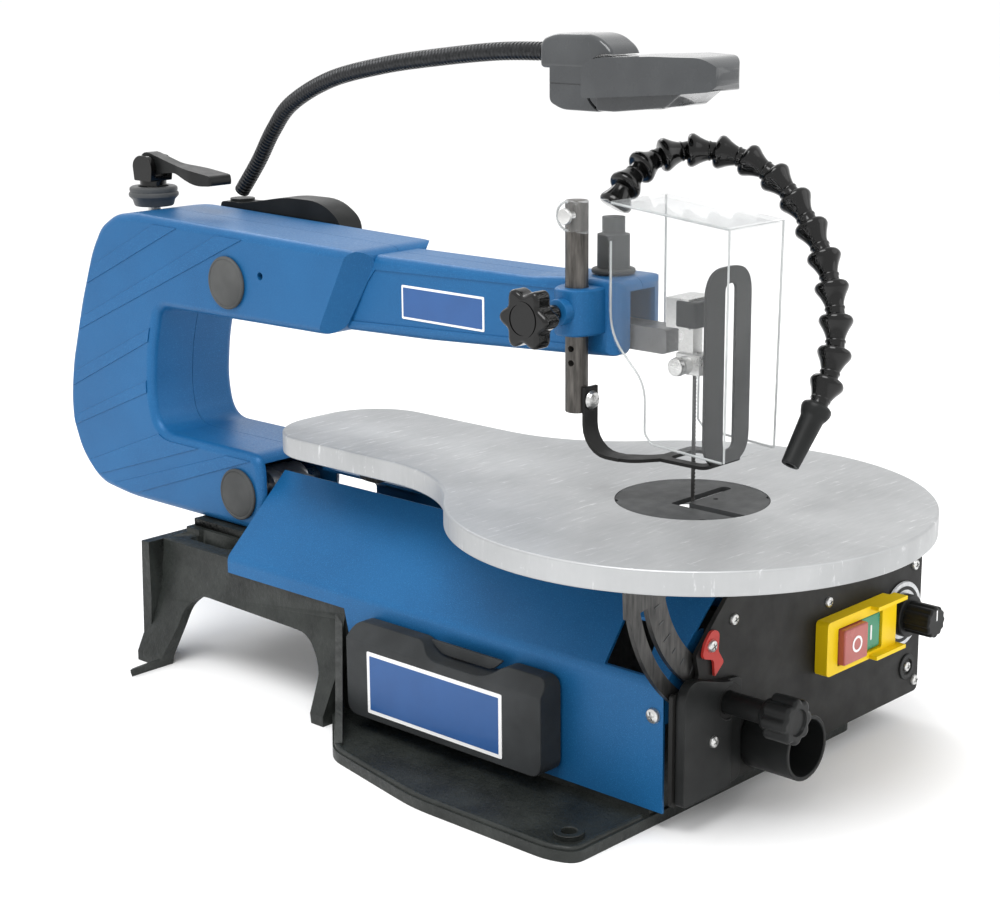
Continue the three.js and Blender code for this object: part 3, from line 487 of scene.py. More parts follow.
def turned(name, profile, axis, origin, segments=48):
    """A solid of revolution: profile is (radius, distance along the axis), closed or ending on the axis."""
    turn = Z.rotation_difference(Vector(axis).normalized()).to_matrix()
    closed = profile[0] == profile[-1]
    points = profile[:-1] if closed else profile
    vertices, faces, rings = [], [], []
    for radius, along in points:
        if radius < 1e-6:
            rings.append([len(vertices)] * segments)
            vertices.append(turn @ Vector((0, 0, along)) + Vector(origin))
            continue
        rings.append(list(range(len(vertices), len(vertices) + segments)))
        for k in range(segments):
            a = 2 * math.pi * k / segments
            rim = Vector((radius * math.cos(a), radius * math.sin(a), along))
            vertices.append(turn @ rim + Vector(origin))
    for r in range(len(rings) if closed else len(rings) - 1):
        low, high = rings[r], rings[(r + 1) % len(rings)]
        for k in range(segments):
            corners = [low[k], low[(k + 1) % segments], high[(k + 1) % segments], high[k]]
            corners = [c for i, c in enumerate(corners) if c != corners[i - 1]]
            if len(corners) > 2:
                faces.append(tuple(corners))
    return new_object(name, vertices, faces)


def rod(name, radius, axis, origin, length, edge=0.4, segments=32):
    e = min(edge, radius * 0.5, length * 0.45)
    profile = [(0, 0), (radius - e, 0), (radius - e * 0.3, e * 0.3), (radius, e), (radius, length - e),
               (radius - e * 0.3, length - e * 0.3), (radius - e, length), (0, length)]
    return turned(name, profile, axis, origin, segments)


def block(name, x0, x1, y0, y1, z0, z1, edge=0.5, corner=0.8):
    return prism(name, rounded(rectangle(x0, x1, y0, y1), corner, 3), "z", z0, z1, edge)


def smooth_path(points, per_span):
    """A Catmull-Rom curve through the points."""
    pts = [Vector(p) for p in points]
    pts = [pts[0] * 2 - pts[1]] + pts + [pts[-1] * 2 - pts[-2]]
    path = []
    for i in range(1, len(pts) - 2):
        p0, p1, p2, p3 = pts[i - 1:i + 3]
        for k in range(per_span):
            t = k / per_span
            path.append(0.5 * ((2 * p1) + (p2 - p0) * t + (2 * p0 - 5 * p1 + 4 * p2 - p3) * t * t
                               + (3 * p1 - p0 - 3 * p2 + p3) * t ** 3))
    return path + [pts[-2]]


def spaced(path, step):
    """The path again, with points at even steps of its length."""
    lengths = [0.0]
    for a, b in zip(path, path[1:]):
        lengths.append(lengths[-1] + (b - a).length)
    count = max(2, round(lengths[-1] / step))
    result, i = [], 0
    for k in range(count + 1):
        s = lengths[-1] * k / count
        while i < len(path) - 2 and lengths[i + 1] < s:
            i += 1
        span = lengths[i + 1] - lengths[i] or 1
        result.append(path[i].lerp(path[i + 1], (s - lengths[i]) / span))
    return result


def sweep(name, path, section_at, start_side=X):
    """A skin along a path: section_at(i) gives the outline (side, up) at point i."""
    side = start_side.copy()
    rings = []
    for i, p in enumerate(path):
        ahead = (path[min(i + 1, len(path) - 1)] - path[max(i - 1, 0)]).normalized()
        side = (side - ahead * side.dot(ahead)).normalized()
        up = ahead.cross(side)
        rings.append([p + side * a + up * b for a, b in section_at(i)])
    return loft(name, rings)


# ---- joining, cutting and finishing ----
def evaluated(obj):
    """The object with its modifiers worked into its mesh."""
    depsgraph = bpy.context.evaluated_depsgraph_get()
    mesh = bpy.data.meshes.new_from_object(obj.evaluated_get(depsgraph))
    old = obj.data
    obj.modifiers.clear()
    obj.data = mesh
    bpy.data.meshes.remove(old)
    return obj


def boolean(obj, tool, operation):
    modifier = obj.modifiers.new(operation, "BOOLEAN")
    modifier.operation = operation
    modifier.object = tool
    modifier.solver = "EXACT"
    evaluated(obj)
    bpy.data.objects.remove(tool)
    return obj


def cut(obj, *tools):
    for tool in tools:
        boolean(obj, tool, "DIFFERENCE")
    return obj


def weld(obj, *others):
    for other in others:
        boolean(obj, other, "UNION")
    return obj


def keep(obj, tool):
    return boolean(obj, tool, "INTERSECT")


def gather(obj, *others):
    """Several separate shells in one object."""
    bm = bmesh.new()
    for part in (obj, *others):
        bm.from_mesh(part.data)
    bm.to_mesh(obj.data)
    bm.free()
    for part in others:
        bpy.data.objects.remove(part)
    return obj


def tidy(obj, angle=1.0):
    """Merges doubled points and flattens what booleans left on flat faces."""
    bm = bmesh.new()
    bm.from_mesh(obj.data)
    bmesh.ops.remove_doubles(bm, verts=bm.verts, dist=1e-3)
    bmesh.ops.dissolve_limit(bm, angle_limit=math.radians(angle), verts=bm.verts, edges=bm.edges)
    bm.to_mesh(obj.data)
    bm.free()
    return obj


def soften(obj, width, segments=2, angle=35):
    """Rounds every edge sharper than angle."""
    tidy(obj)
    modifier = obj.modifiers.new("edges", "BEVEL")
    modifier.width = width
    modifier.segments = segments
    modifier.limit_method = "ANGLE"
    modifier.angle_limit = math.radians(angle)
    modifier.use_clamp_overlap = True
    modifier.miter_outer = "MITER_ARC"
    return evaluated(obj)


def piece(obj, body, material, nodes=(), smooth=32):
    """Puts a finished shape into the frame's metres, on its body, in its material."""
    obj.data.transform(TO_METRES)
    for polygon in obj.data.polygons:
        polygon.use_smooth = True
    obj.data.set_sharp_from_angle(angle=math.radians(smooth))
    weighted = obj.modifiers.new("normals", "WEIGHTED_NORMAL")
    weighted.keep_sharp = True
    obj.data.materials.clear()
    obj.data.materials.append(material)
    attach(obj, body)
    if nodes:
        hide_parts(*([nodes] if isinstance(nodes, str) else nodes))
    return obj


BODY_OF = {node: body for body, nodes in frame["record"]["behaviour"]["bodies"].items() for node in nodes}


def stand_in(obj, material, *nodes, smooth=32):
    """A finished shape in place of one or more CAD nodes of one body."""
    return piece(obj, BODY_OF[nodes[0]], material, list(nodes), smooth)


def dressed(node, material, width=0.6, segments=2, angle=35):
    """The CAD node's own solid with its edges rounded."""
    source = frame["nodes"][node]
    obj = bpy.data.objects.new(node + "_finished", source.data.copy())
    bpy.context.scene.collection.objects.link(obj)
    obj.data.transform(TO_METRES.inverted())
    soften(obj, width, segments, angle)
    return stand_in(obj, material, node)


def trim(obj, like_node, material):
    """A small added piece that moves with the body of a CAD node."""
    return piece(obj, BODY_OF[like_node], material)


def screw(name, like_node, place, axis, radius=3.4):
    """A pan-head screw with a cross recess."""
    r, h = radius, radius * 0.62
    profile = [(0, -1), (r, -1), (r, 0.25 * h), (r * 0.86, 0.68 * h), (r * 0.5, 0.95 * h), (0, h)]
    head = turned(name, profile, axis, place, 28)
    turn = Z.rotation_difference(Vector(axis).normalized()).to_matrix().to_4x4()
    for angle in (20, 110):
        slot = block("slot", -r * 0.55, r * 0.55, -r * 0.13, r * 0.13, h * 0.35, h * 2, 0, 0.05)
        slot.data.transform(Matrix.Translation(place) @ turn @ Matrix.Rotation(math.radians(angle), 4, "Z"))
        cut(head, slot)
    return trim(head, like_node, STEEL)


def copy_of(obj, name):
    twin = bpy.data.objects.new(name, obj.data.copy())
    bpy.context.scene.collection.objects.link(twin)
    return twin


def beyond(point, normal, size=400):
    """A large block filling the space on one side of a plane."""
    tool = block("beyond", -size, size, -size, size, 0, size, 0, 0)
    turn = Z.rotation_difference(Vector(normal).normalized()).to_matrix().to_4x4()
    tool.data.transform(Matrix.Translation(point) @ turn)
    return tool


def flipped(obj):
    """The shape mirrored to the other side of the saw."""
    obj.data.transform(Matrix.Scale(-1, 4, X))
    obj.data.flip_normals()
    return obj


# ---- arm housing ----
HOUSING = [(304.5, 85), (437, 85), (470, 89), (489, 106), (497.95, 128), (497.95, 145), (494, 168),
           (480, 211), (466, 245), (455, 261), (440, 269.5), (420, 272), (209, 267), (239, 216),
           (398, 214.5), (406, 186), (409, 160), (406, 141), (397, 134), (310, 134), (304.5, 128)]
HOUSING_R = [9, 10, 10, 10, 8, 8, 8, 8, 8, 6, 6, 6, 14, 9, 8, 8, 8, 8, 8, 6, 9]
CAVITY = [(295, 89.3), (447, 89.3), (468, 94), (484, 110), (492, 130), (492, 144), (488, 167),
          (474, 210), (460, 242), (450, 256), (437, 264), (420, 266.5), (230, 262), (255, 222),
          (401, 220), (411, 188), (415, 160), (411, 137), (400, 128.5), (295, 128.5)]
SLIM = [(270, 216.8), (173, 220), (74, 225.7), (34, 228.6), (34, 268), (62, 268), (98, 264.3), (270, 264)]
SLIM_CAVITY = [(280, 222), (173, 224), (120, 225.5), (104, 226), (37.5, 222), (37.5, 263), (280, 259.5)]
# Raised diagonal bands on the rear of the side faces: upper line, then lower line.
BANDS = [[(482, 226), (394, 269), (374, 267), (482, 217)],
         [(490, 194), (330, 269), (309, 267), (490, 187)],
         [(500, 157), (406, 201), (406, 193), (500, 148)],
         [(502, 127.5), (408, 168), (408, 160), (502, 121)],
         [(492, 98), (392, 137), (355, 132), (487, 89)], [(455, 91), (316, 136), (300, 134), (432, 88)]]
PANEL_RECESS = [(213.5, 256), (64, 260.5), (64, 232), (241, 223.8)]


def housing_bands(outline):
    zone = inset(outline, 4.6)
    bands = []
    for i, band in enumerate(BANDS):
        strip = prism(f"band_{i}", band, "x", -HOUSING_HALF - 0.6, -HOUSING_HALF + 1, 0.5, 0)
        bands.append(keep(strip, prism("zone", zone, "x", -HOUSING_HALF - 2, -HOUSING_HALF + 2)))
    return bands


def housing_body():
    outline = rounded(HOUSING, HOUSING_R)
    thick = prism("housing", outline, "x", -HOUSING_HALF, HOUSING_HALF, 5.5, steps=5)
    for side in (-1, 1):
        wedge = beyond((side * HOUSING_HALF, 222, 267.5), (side * 0.618, -0.695, -0.367))
        cut(thick, keep(wedge, block("zone", min(0, side * 60), max(0, side * 60), 150, 300, 205, 300,
                                     0, 0)))
    slim = prism("slim", rounded(SLIM, [0, 6, 6, 7, 7, 6, 8, 0]), "x", -ARM_HALF, ARM_HALF, 4.5, steps=4)
    nose = rounded([(-ARM_HALF, 290), (-ARM_HALF, 34), (ARM_HALF, 34), (ARM_HALF, 290)], [0, 13, 13, 0], 8)
    keep(slim, prism("nose", nose, "z", 205, 285))
    for side in (-1, 1):
        face = side * ARM_HALF
        recess = prism("recess", PANEL_RECESS, "x", min(face, face - side * 0.7) - 0.001,
                       max(face, face - side * 0.7) + 0.001, 0)
        cut(slim, recess)
    body = weld(thick, slim)
    return body, outline


def housing_openings(body):
    cut(body,
        prism("cavity", CAVITY, "x", -HOUSING_HALF + 5, HOUSING_HALF - 5),
        prism("arm_cavity", SLIM_CAVITY, "x", -ARM_HALF + 5.5, ARM_HALF - 5.5),
        block("front_slot", -10, 10, 28, 48, 223.5, 262, 0, 0.01),
        block("lower_slot", -14.5, 14.5, 300, 312, 91, 128, 0, 0.01),
        rod("tension_hole", 6.5, Z, (0, TENSION_Y, 255), 25, 0.01),
        rod("upper_pin_hole", 5.3, X, (-40, *UPPER_PIVOT), 80, 0.01),
        rod("lower_pin_hole", 5.3, X, (-40, *LOWER_PIVOT), 80, 0.01))
    for side in (-1, 1):
        start = min(side * 20, side * 40)
        cut(body, rod("set_screw_hole", 2.4, X, (start, 298, 245), 20, 0.01, 20))
    return body


def post_bracket():
    plan = rounded([(-14, 43), (-29, 43), (-39.5, 48), (-39.5, 62), (-29, 67), (-14, 69)],
                   [1, 7, 8, 8, 7, 1])
    body = prism("bracket", plan, "z", 240, 264.5, 1.6)
    weld(body, rod("boss", 7, X, (-44, POST_Y, CLAMP_Z), 12, 1.0))
    return cut(body, rod("post_hole", POST_R + 0.3, Z, (POST_X, POST_Y, 230), 40, 0.01),
               rod("clamp_hole", 3.2, X, (-46, POST_Y, CLAMP_Z), 16, 0.01))


def make_housing():
    body, outline = housing_body()
    housing_openings(body)
    for side, name in ((-1, "arm_housing_left"), (1, "arm_housing_right")):
        half = copy_of(body, name + "_casting")
        keep(half, block("half", min(side * 0.15, side * 60), max(side * 0.15, side * 60), 0, 520, 60,
                         300, 0, 0))
        tidy(half, 0.5)
        bands = housing_bands(outline)
        if side < 0:
            weld(half, post_bracket())
        else:
            bands = [flipped(band) for band in bands]
        gather(half, *bands)
        stand_in(half, BLUE, name, smooth=30)
    bpy.data.objects.remove(body)


def make_label(name, like_node, x, y0, y1, z0, z1, border):
    """A blank printed plate: a white plate with a blue field inside it."""
    white = prism(name + "_border", rounded(rectangle(y0, y1, z0, z1), 0.8, 2), "x", x - 0.35, x + 0.05,
                  0.1, 0)
    trim(white, like_node, WHITE)
    field = rounded(rectangle(y0 + border, y1 - border, z0 + border, z1 - border), 0.4, 2)
    blue = prism(name + "_field", field, "x", x - 0.5, x, 0.08, 0)
    trim(blue, like_node, PLATE_BLUE)


def make_pivot_caps():
    for name, (y, z) in (("upper", UPPER_PIVOT), ("lower", LOWER_PIVOT)):
        for side, word in ((-1, "left"), (1, "right")):
            profile = [(0, 0), (15.6, 0), (16, 0.4), (16, 1.4), (15.4, 2.0), (14.6, 2.1), (14.2, 1.8),
                       (13.6, 2.0), (12, 2.6), (7, 3.2), (0, 3.5)]
            cap = turned(f"{name}_cap_{word}", profile, (side, 0, 0),
                         (side * (HOUSING_HALF + 0.3), y, z), 56)
            stand_in(cap, RUBBER, f"{name}_pivot_cap_{word}")
        dressed(f"{name}_pivot_pin", STEEL, 0.3)


# ---- table ----
def table_outline():
    fillet = 100
    corner = 40
    fx = TAIL_HALF + fillet
    fy = TABLE_CENTRE_Y + math.sqrt((TABLE_R + fillet) ** 2 - fx ** 2)
    on_disc = math.degrees(math.atan2(fy - TABLE_CENTRE_Y, fx))
    loop = arc((0, TABLE_CENTRE_Y), TABLE_R, 180 - on_disc, 360 + on_disc, 150)
    loop += arc((fx, fy), fillet, on_disc + 180, 180, 22)[1:]
    loop += arc((TAIL_HALF - corner, TABLE_REAR - corner), corner, 0, 90, 22)
    loop += arc((-TAIL_HALF + corner, TABLE_REAR - corner), corner, 90, 180, 22)
    loop += arc((-fx, fy), fillet, 0, -on_disc, 22)[:-1]
    return loop


def make_table():
    top = prism("table_finished", table_outline(), "z", TABLE_TOP - TABLE_T, TABLE_TOP, 1.0, 1.3)
    cut(top, rod("insert_seat", INSERT_R + 0.3, Z, (0, 0, TABLE_TOP - 3), 5, 0.01, 96),
        rod("blade_opening", INSERT_R - 6, Z, (0, 0, TABLE_TOP - 20), 25, 0.01, 96))
    weld(top, rod("boss", 11, Z, (-45, -88, 138.5), 8, 0.8))
    stand_in(top, TABLE, "table_top", smooth=40)
    disc = rod("insert_finished", INSERT_R, Z, (0, 0, TABLE_TOP - 2.7), 2.6, 0.35, 96)
    slot = rounded([(-14, 3.4), (-14, -45), (-7, -45), (-7, -3), (31, -3), (31, 3.4)],
                   [2, 0, 0, 1, 3, 3], 4)
    cut(disc, prism("slot", slot, "z", TABLE_TOP - 5, TABLE_TOP + 2))
    for degrees in (45, 135, 225, 315):
        a = math.radians(degrees)
        place = (41 * math.cos(a), 41 * math.sin(a), TABLE_TOP - 5)
        cut(disc, rod("notch", 2.6, Z, place, 8, 0.01, 20))
    cut(disc, rod("hole", 1.4, Z, (8, -9, TABLE_TOP - 5), 8, 0.01, 16))
    stand_in(disc, INSERT, "table_insert", smooth=40)


def make_trunnion():
    dressed("table_trunnion", DARK_STEEL, 0.3)
    dressed("rear_trunnion", DARK_STEEL, 0.5)
    marks = []
    for i in range(10):
        a = math.radians(-171 + i * 7.4)
        length = 5.4 if i % 3 == 0 else 3.4
        mark = block(f"mark_{i}", 77 - length / 2, 77 + length / 2, PANEL_Y + 3.3, PANEL_Y + 3.6, -0.35,
                     0.35, 0, 0.02)
        mark.data.transform(Matrix.Translation((0, 0, TILT_Z)) @ Matrix.Rotation(-a, 4, "Y"))
        marks.append(mark)
    trim(gather(marks[0], *marks[1:]), "table_trunnion", GREY)


# ---- base, skirt and front panel ----
def make_base():
    dressed("base_casting", CAST, 1.2, 2, 28)
    rim = [(-66, 200), (-71, 200), (-106.5, 160.5), (-122, 83), (-122, -9), (-116.8, -20.6), (-66, -20.6)]
    for side in (-1, 1):
        path = [Vector((-a * side, b, 6)) for a, b in rounded(rim, [0, 5, 8, 12, 6, 4, 0])]
        bead = sweep(f"foot_rim_{side + 1}", path, lambda i: polar(lambda a: 1.9, 12), Z)
        trim(bead, "base_casting", CAST)
        seat = [(4.2, 0), (7.6, 0), (7.9, 0.4), (7.6, 0.8), (4.5, 0.8), (4.2, 0.4), (4.2, 0)]
        ring = turned(f"foot_seat_{side + 1}", seat, Z, (106 * side, -8, 8.0), 40)
        trim(ring, "base_casting", CAST)


def folded_sheet(name, outer, inner, radius):
    """A folded sheet running front to back, its outside line and its inside line in step."""
    outside = rounded(outer, [0] + [radius] * (len(outer) - 2) + [0], 6)
    inside = rounded(inner, [0] + [max(0.5, radius - 1.6)] * (len(inner) - 2) + [0], 6)
    return prism(name, outside + inside[::-1], "y", SKIRT_FRONT, SKIRT_REAR, 0.25)


def make_skirt():
    x, sheet = -SKIRT_X, 1.6
    top = SKIRT_FOLD_Z + (SKIRT_X - 15) * SLOPE
    skirt = folded_sheet("side_skirt_finished", [(x, 0), (x, SKIRT_FOLD_Z), (-15, top)],
                         [(x + sheet, 0), (x + sheet, SKIRT_FOLD_Z - 0.6), (-15, top - sheet)], 3.5)
    below = [(-60, -5), (-60, 10.5), (186, 10.5), (200, 68), (330, 68), (330, -5)]
    slot = [(-18, 80), (-8, 112), (14, 112), (8, 80)]
    cut(skirt, prism("below", below, "x", -75, -50), prism("slot", rounded(slot, 1), "x", -80, -38))
    end = [(-62.4, 58), (-62.4, 77), (-38, 100), (-31, 100.5), (-31, 92), (-50, 58)]
    gather(skirt, prism("front_flange", end, "y", SKIRT_FRONT, SKIRT_FRONT + sheet, 0.2))
    stand_in(skirt, BLUE, "side_skirt", smooth=25)
    right = folded_sheet("side_cover_finished", [(x, 68), (x, 98), (-40, 118), (-16, 118)],
                         [(x + sheet, 68), (x + sheet, 97.5), (-39.5, 116.4), (-16, 116.4)], 3)
    cut(right, prism("notch", rectangle(108, 192, 60, 92), "x", -70, -55))
    stand_in(flipped(right), BLUE, "side_cover_right", smooth=25)


def make_panels():
    make_skirt()
    dressed("front_panel", BLACK_STEEL, 0.5)
    dressed("panel_bezel", BLACK, 1.4, 3)
    dressed("control_box", BLACK_STEEL, 0.8)
    dressed("cord_gland", BLACK, 0.4)
    places = [(-16.1, 103.5), (68.6, 91.8), (154.4, 92.8), (158.2, 22.8), (-39.4, 46)]
    for i, (x, z) in enumerate(places):
        y = PANEL_Y - 6.2 if i == 4 else PANEL_Y
        screw(f"panel_screw_{i}", "front_panel", (x, y, z), (0, -1, 0), 3.1)
    screw("skirt_screw", "side_skirt", (-SKIRT_X, -26.5, 61.8), (-1, 0, 0), 4.2)
    ring = [(4.6, 0), (7.4, 0), (7.6, 0.5), (7.2, 1.0), (5.0, 1.0), (4.6, 0.6), (4.6, 0)]
    trim(turned("panel_boss", ring, (0, -1, 0), (149.4, PANEL_Y, 33.3), 40), "front_panel", BLACK)
    screw("boss_screw", "front_panel", (149.4, PANEL_Y, 33.3), (0, -1, 0), 3.0)


def make_dust_port():
    r, wall = DUST_R, 2.3
    profile = [(r - wall, 0), (r - 0.5, 0), (r, 0.5), (r, 29.5), (r - 0.5, 30), (r - wall + 0.4, 30),
               (r - wall, 29.6), (r - wall, 0)]
    port = turned("dust_port_finished", profile, (0, -1, 0), (DUST_X, PANEL_Y - 0.3, DUST_Z), 72)
    stand_in(port, BLACK, "dust_port")


def make_switch():
    x0, x1, z0, z1 = SWITCH
    front, back = PANEL_Y - 8, PANEL_Y - 0.3
    frame_shape = prism("switch_frame_finished", rounded(rectangle(x0, x1, z0, z1), 3), "y", front, back)
    for low, high in ((z1 - 2.2, z1), (z0, z0 + 2.2)):
        wing = prism("wing", rounded([(x1 - 26, low), (x1 + 3, low), (x1 + 3, high), (x1 - 26, high)], 0.4),
                     "y", front - 5, back - 4)
        weld(frame_shape, wing)
    window = rectangle(67, 110, 57.4, 78.6)
    cut(frame_shape, prism("window", rounded(window, 1), "y", front - 9, back + 1))
    stand_in(soften(frame_shape, 0.8, 3, 40), YELLOW, "switch_frame")
    for name, a, b, out, material in (("stop_button", 67.6, 90.2, 12, BUTTON_RED),
                                      ("start_button", 91, 109.4, 7, GREEN)):
        face = rounded(rectangle(a, b, BUTTON_Z - 10, BUTTON_Z + 10), 1.5)
        cap = prism(name + "_cap", face, "y", PANEL_Y - out, PANEL_Y + 5.5, 1.0, 0.3)
        stand_in(cap, material, name)
    ring = [(3.3, 0), (4.6, 0), (4.6, 0.25), (3.3, 0.25), (3.3, 0)]
    trim(turned("stop_mark", ring, (0, -1, 0), (79.5, PANEL_Y - 12, BUTTON_Z), 40), "stop_button", WHITE)
    bar = block("start_mark", 99.6, 101, PANEL_Y - 7.25, PANEL_Y - 6.9, BUTTON_Z - 4.2, BUTTON_Z + 4.2,
                0, 0.02)
    trim(bar, "start_button", WHITE)


def make_dial():
    profile = [(4.2, 0), (18.6, 0), (19, 0.4), (18.6, 1.4), (4.2, 1.4), (4.2, 0)]
    plate = turned("dial_plate_finished", profile, (0, -1, 0), (DIAL_X, PANEL_Y - 0.3, DIAL_Z), 96)
    cut(plate, block("corner", DIAL_X - 25, SWITCH[1] + 0.3, -50, -30, SWITCH[2], SWITCH[3] + 1, 0, 0.01))
    stand_in(plate, ALLOY, "dial_plate")
    ring = turned("dial_ring", [(14.2, 0), (16.2, 0), (16.2, 0.2), (14.2, 0.2), (14.2, 0)], (0, -1, 0),
                  (DIAL_X, PANEL_Y - 1.7, DIAL_Z), 96)
    trim(ring, "dial_plate", BLACK)
    skirt = turned("speed_knob_finished", [(0, 0), (12, 0), (12.2, 0.3), (12.2, 4.4), (11.6, 5), (0, 5)],
                   (0, -1, 0), (DIAL_X, PANEL_Y - 2.2, DIAL_Z), 64)
    grip = polar(lambda a: 9.1 - 0.8 * abs(math.sin(6 * a)) ** 3, 144, (DIAL_X, DIAL_Z))
    weld(skirt, prism("grip", grip, "y", PANEL_Y - 23.7, PANEL_Y - 6, 1.4, 0))
    weld(skirt, rod("spindle", 3, Y, (DIAL_X, PANEL_Y - 3.2, DIAL_Z), 13.2, 0.2))
    stand_in(skirt, BLACK, "speed_knob")
    line = block("knob_line", DIAL_X - 0.5, DIAL_X + 0.5, PANEL_Y - 23.8, PANEL_Y - 23.4, DIAL_Z + 1,
                 DIAL_Z + 7, 0, 0.02)
    trim(line, "speed_knob", WHITE)


def make_tilt_lock():
    end = -88
    grip = polar(lambda a: 12.1 - 1.7 * (0.5 - 0.5 * math.cos(8 * a)) ** 2, 192, (LOCK_X, LOCK_Z))
    knob = prism("lock_knob_finished", grip, "y", end, end + 15, 2.0, 1.2)
    cut(knob, turned("dish", [(0, -1), (7.5, -1), (6.5, 1.2), (0, 1.4)], Y, (LOCK_X, end, LOCK_Z), 48))
    weld(knob, turned("neck", [(0, 11), (9.0, 11), (8.6, 17.8), (7.8, 19), (0, 19)], Y,
                      (LOCK_X, end, LOCK_Z), 48))
    weld(knob, rod("sleeve", 6, Y, (LOCK_X, -71, LOCK_Z), 28, 0.8))
    weld(knob, rod("stud", 2.2, Y, (LOCK_X, PANEL_Y - 4, LOCK_Z), 16, 0.3))
    stand_in(knob, BLACK, "tilt_lock_knob")
    ring = [(6.2, 0), (10.6, 0), (11, 0.4), (10.6, 0.8), (6.2, 0.8), (6.2, 0)]
    trim(turned("lock_washer", ring, (0, -1, 0), (LOCK_X, PANEL_Y - 4.2, LOCK_Z), 48), "panel_bezel",
         BLACK_STEEL)


def make_pointer():
    dressed("tilt_pointer", RED, 0.4)
    screw("pointer_screw", "tilt_pointer", (-36.5, PANEL_Y - 1.9, 95), (0, -1, 0), 3.3)


# ---- storage box ----
def make_storage_box():
    x0, x1 = BOX_FACE_X, -SKIRT_X - 1.2
    face = rounded([(34, 15.5), (180, 15.5), (180, 68.5), (127, 68.5), (117, 61), (75, 61), (65, 68.5),
                    (34, 68.5)], [8, 8, 8, 4, 9, 9, 4, 8])
    body = prism("storage_box_finished", face, "x", x0, x1)
    slope = rounded([(x0, 10), (x1, 10), (x1, 80), (-73, 80), (-73, 68.5), (x0, 60)], 0)
    keep(body, prism("slope", slope, "y", 20, 200))
    soften(body, 3.2, 5, 40)
    stand_in(body, CHARCOAL, "storage_box")
    lip = prism("box_lip", rounded([(77, 62.6), (115, 62.6), (123, 69.4), (69, 69.4)], [4, 4, 2, 2]),
                "x", -70.5, -68.7, 0.4)
    trim(lip, "storage_box", CHARCOAL)
    dressed("storage_latch", BLACK, 0.3)


# ---- hold-down post, foot and guard ----
def make_post():
    post = rod("guard_post_finished", POST_R, Z, (POST_X, POST_Y, 199), 110, 0.6, 48)
    for z in (225.5, 233):
        cut(post, rod("cross_hole", 1.7, X, (POST_X - 10, POST_Y - 1, z), 20, 0.01, 20))
    stand_in(post, BURNT_STEEL, "guard_post")


def make_post_knob():
    x = -70
    lobes = polar(lambda a: 14.3 + 2.1 * math.cos(6 * a), 144, (POST_Y, CLAMP_Z))
    knob = prism("post_knob_finished", lobes, "x", x, x + 11.5, 2.4, 2.4, 5)
    hub = [(0, 8), (11, 8), (8.4, 14), (6.4, 17), (0, 17)]
    gather(knob, turned("hub", hub, X, (x, POST_Y, CLAMP_Z), 48))
    ring = [(8.0, -0.5), (9.4, -0.5), (9.4, 1), (8.0, 1), (8.0, -0.5)]
    gather(knob, turned("ring", ring, X, (x, POST_Y, CLAMP_Z), 56))
    gather(knob, rod("collar", 4.5, X, (x + 14, POST_Y, CLAMP_Z), 11, 0.5))
    gather(knob, rod("stud", 2.8, X, (x + 22, POST_Y, CLAMP_Z), 13, 0.3))
    stand_in(knob, GLOSS_BLACK, "post_knob")


def make_foot():
    dressed("hold_down_foot", BLACK_STEEL, 0.35, 2, 40)
    screw("foot_screw_head", "hold_down_foot", (POST_X + 2.2, 46.5, 206), (0, -1, 0), 4.6)
    dressed("foot_screw", STEEL, 0.3)


# A thin rod along a path, carrying the painted highlight on the guard's edges.
def edge_highlight_strip(name, points, radius=0.6):
    path = [Vector(p) for p in points]
    circle = polar(lambda a: radius, 8)
    return sweep(name, path, lambda i: circle, Vector((0.31, 0.52, 0.79)))


def make_guard():
    dressed("guard_shell", CLEAR, 0.8, 3, 40)
    half, z_top = 22.2, 302
    curve = rounded([(-35, 185), (9.6, 187.6), (14.2, 192.4), (14.2, 218), (37.2, 241), (37.2, 289)],
                    [0, 2, 2, 9, 12, 0])
    left = [(-half, y, z) for y, z in curve]
    top = [(-half, -36.8, z_top - 0.6), (-half, 37, 308.4)]
    front = [(-half, -36.4, 185), (-half, -37.2, z_top - 0.6), (half, -37.2, z_top - 0.6),
             (half, -34.8, 185.2)]
    right = [(half, y, z) for y, z in ((-35, 185), (9.6, 187.6), (14.2, 192.4), (14.2, 216),
                                       (37.2, 240.6), (37.2, 308.4))]
    lug = [(POST_X - 10.5, 52 + 7.2 * math.cos(a), GUARD_PIVOT_Z + 7.2 * math.sin(a))
           for a in [math.radians(-90 + 18 * k) for k in range(11)]]
    lines = (left, top, front, right, lug)
    # Light grey rods along the guard's edges and lug: a painted highlight for their bright edges.
    highlight_strips = [edge_highlight_strip(f"guard_edge_highlight_{i}", points) for i, points in enumerate(lines)]
    trim(gather(highlight_strips[0], *highlight_strips[1:]), "guard_shell", CLEAR_EDGE_HIGHLIGHT)
    dressed("guard_screw", STEEL, 0.3)


# ---- clamps, blade and drive ----
def make_blade():
    teeth = []
    z = 124.0
    while z < 226:
        teeth += [(-1.6, z), (-1.05, z + 0.9)]
        z += 2.0
    loop = [(0.8, 118.5), (0.8, 232), (-1.4, 232)] + teeth[::-1] + [(-1.4, 118.5)]
    stand_in(prism("blade_finished", loop, "x", -0.3, 0.3), DARK_STEEL, "blade", smooth=10)


def make_drive():
    for node in ("upper_clamp", "lower_clamp"):
        dressed(node, STEEL, 0.6, 2)
    for node in ("upper_clamp_screw", "lower_clamp_screw", "connecting_rod", "motor_crank", "tension_rod"):
        dressed(node, STEEL, 0.3)
    dressed("upper_arm", DARK_ALLOY, 0.8)
    dressed("lower_arm", ALLOY, 0.8)
    dressed("motor", CAST, 1.0)
    clip = block("clamp_clip", -11.6, 11.6, -9.2, 4.0, 247.6, 261, 1.0, 2.0)
    trim(clip, "upper_clamp", BLACK)


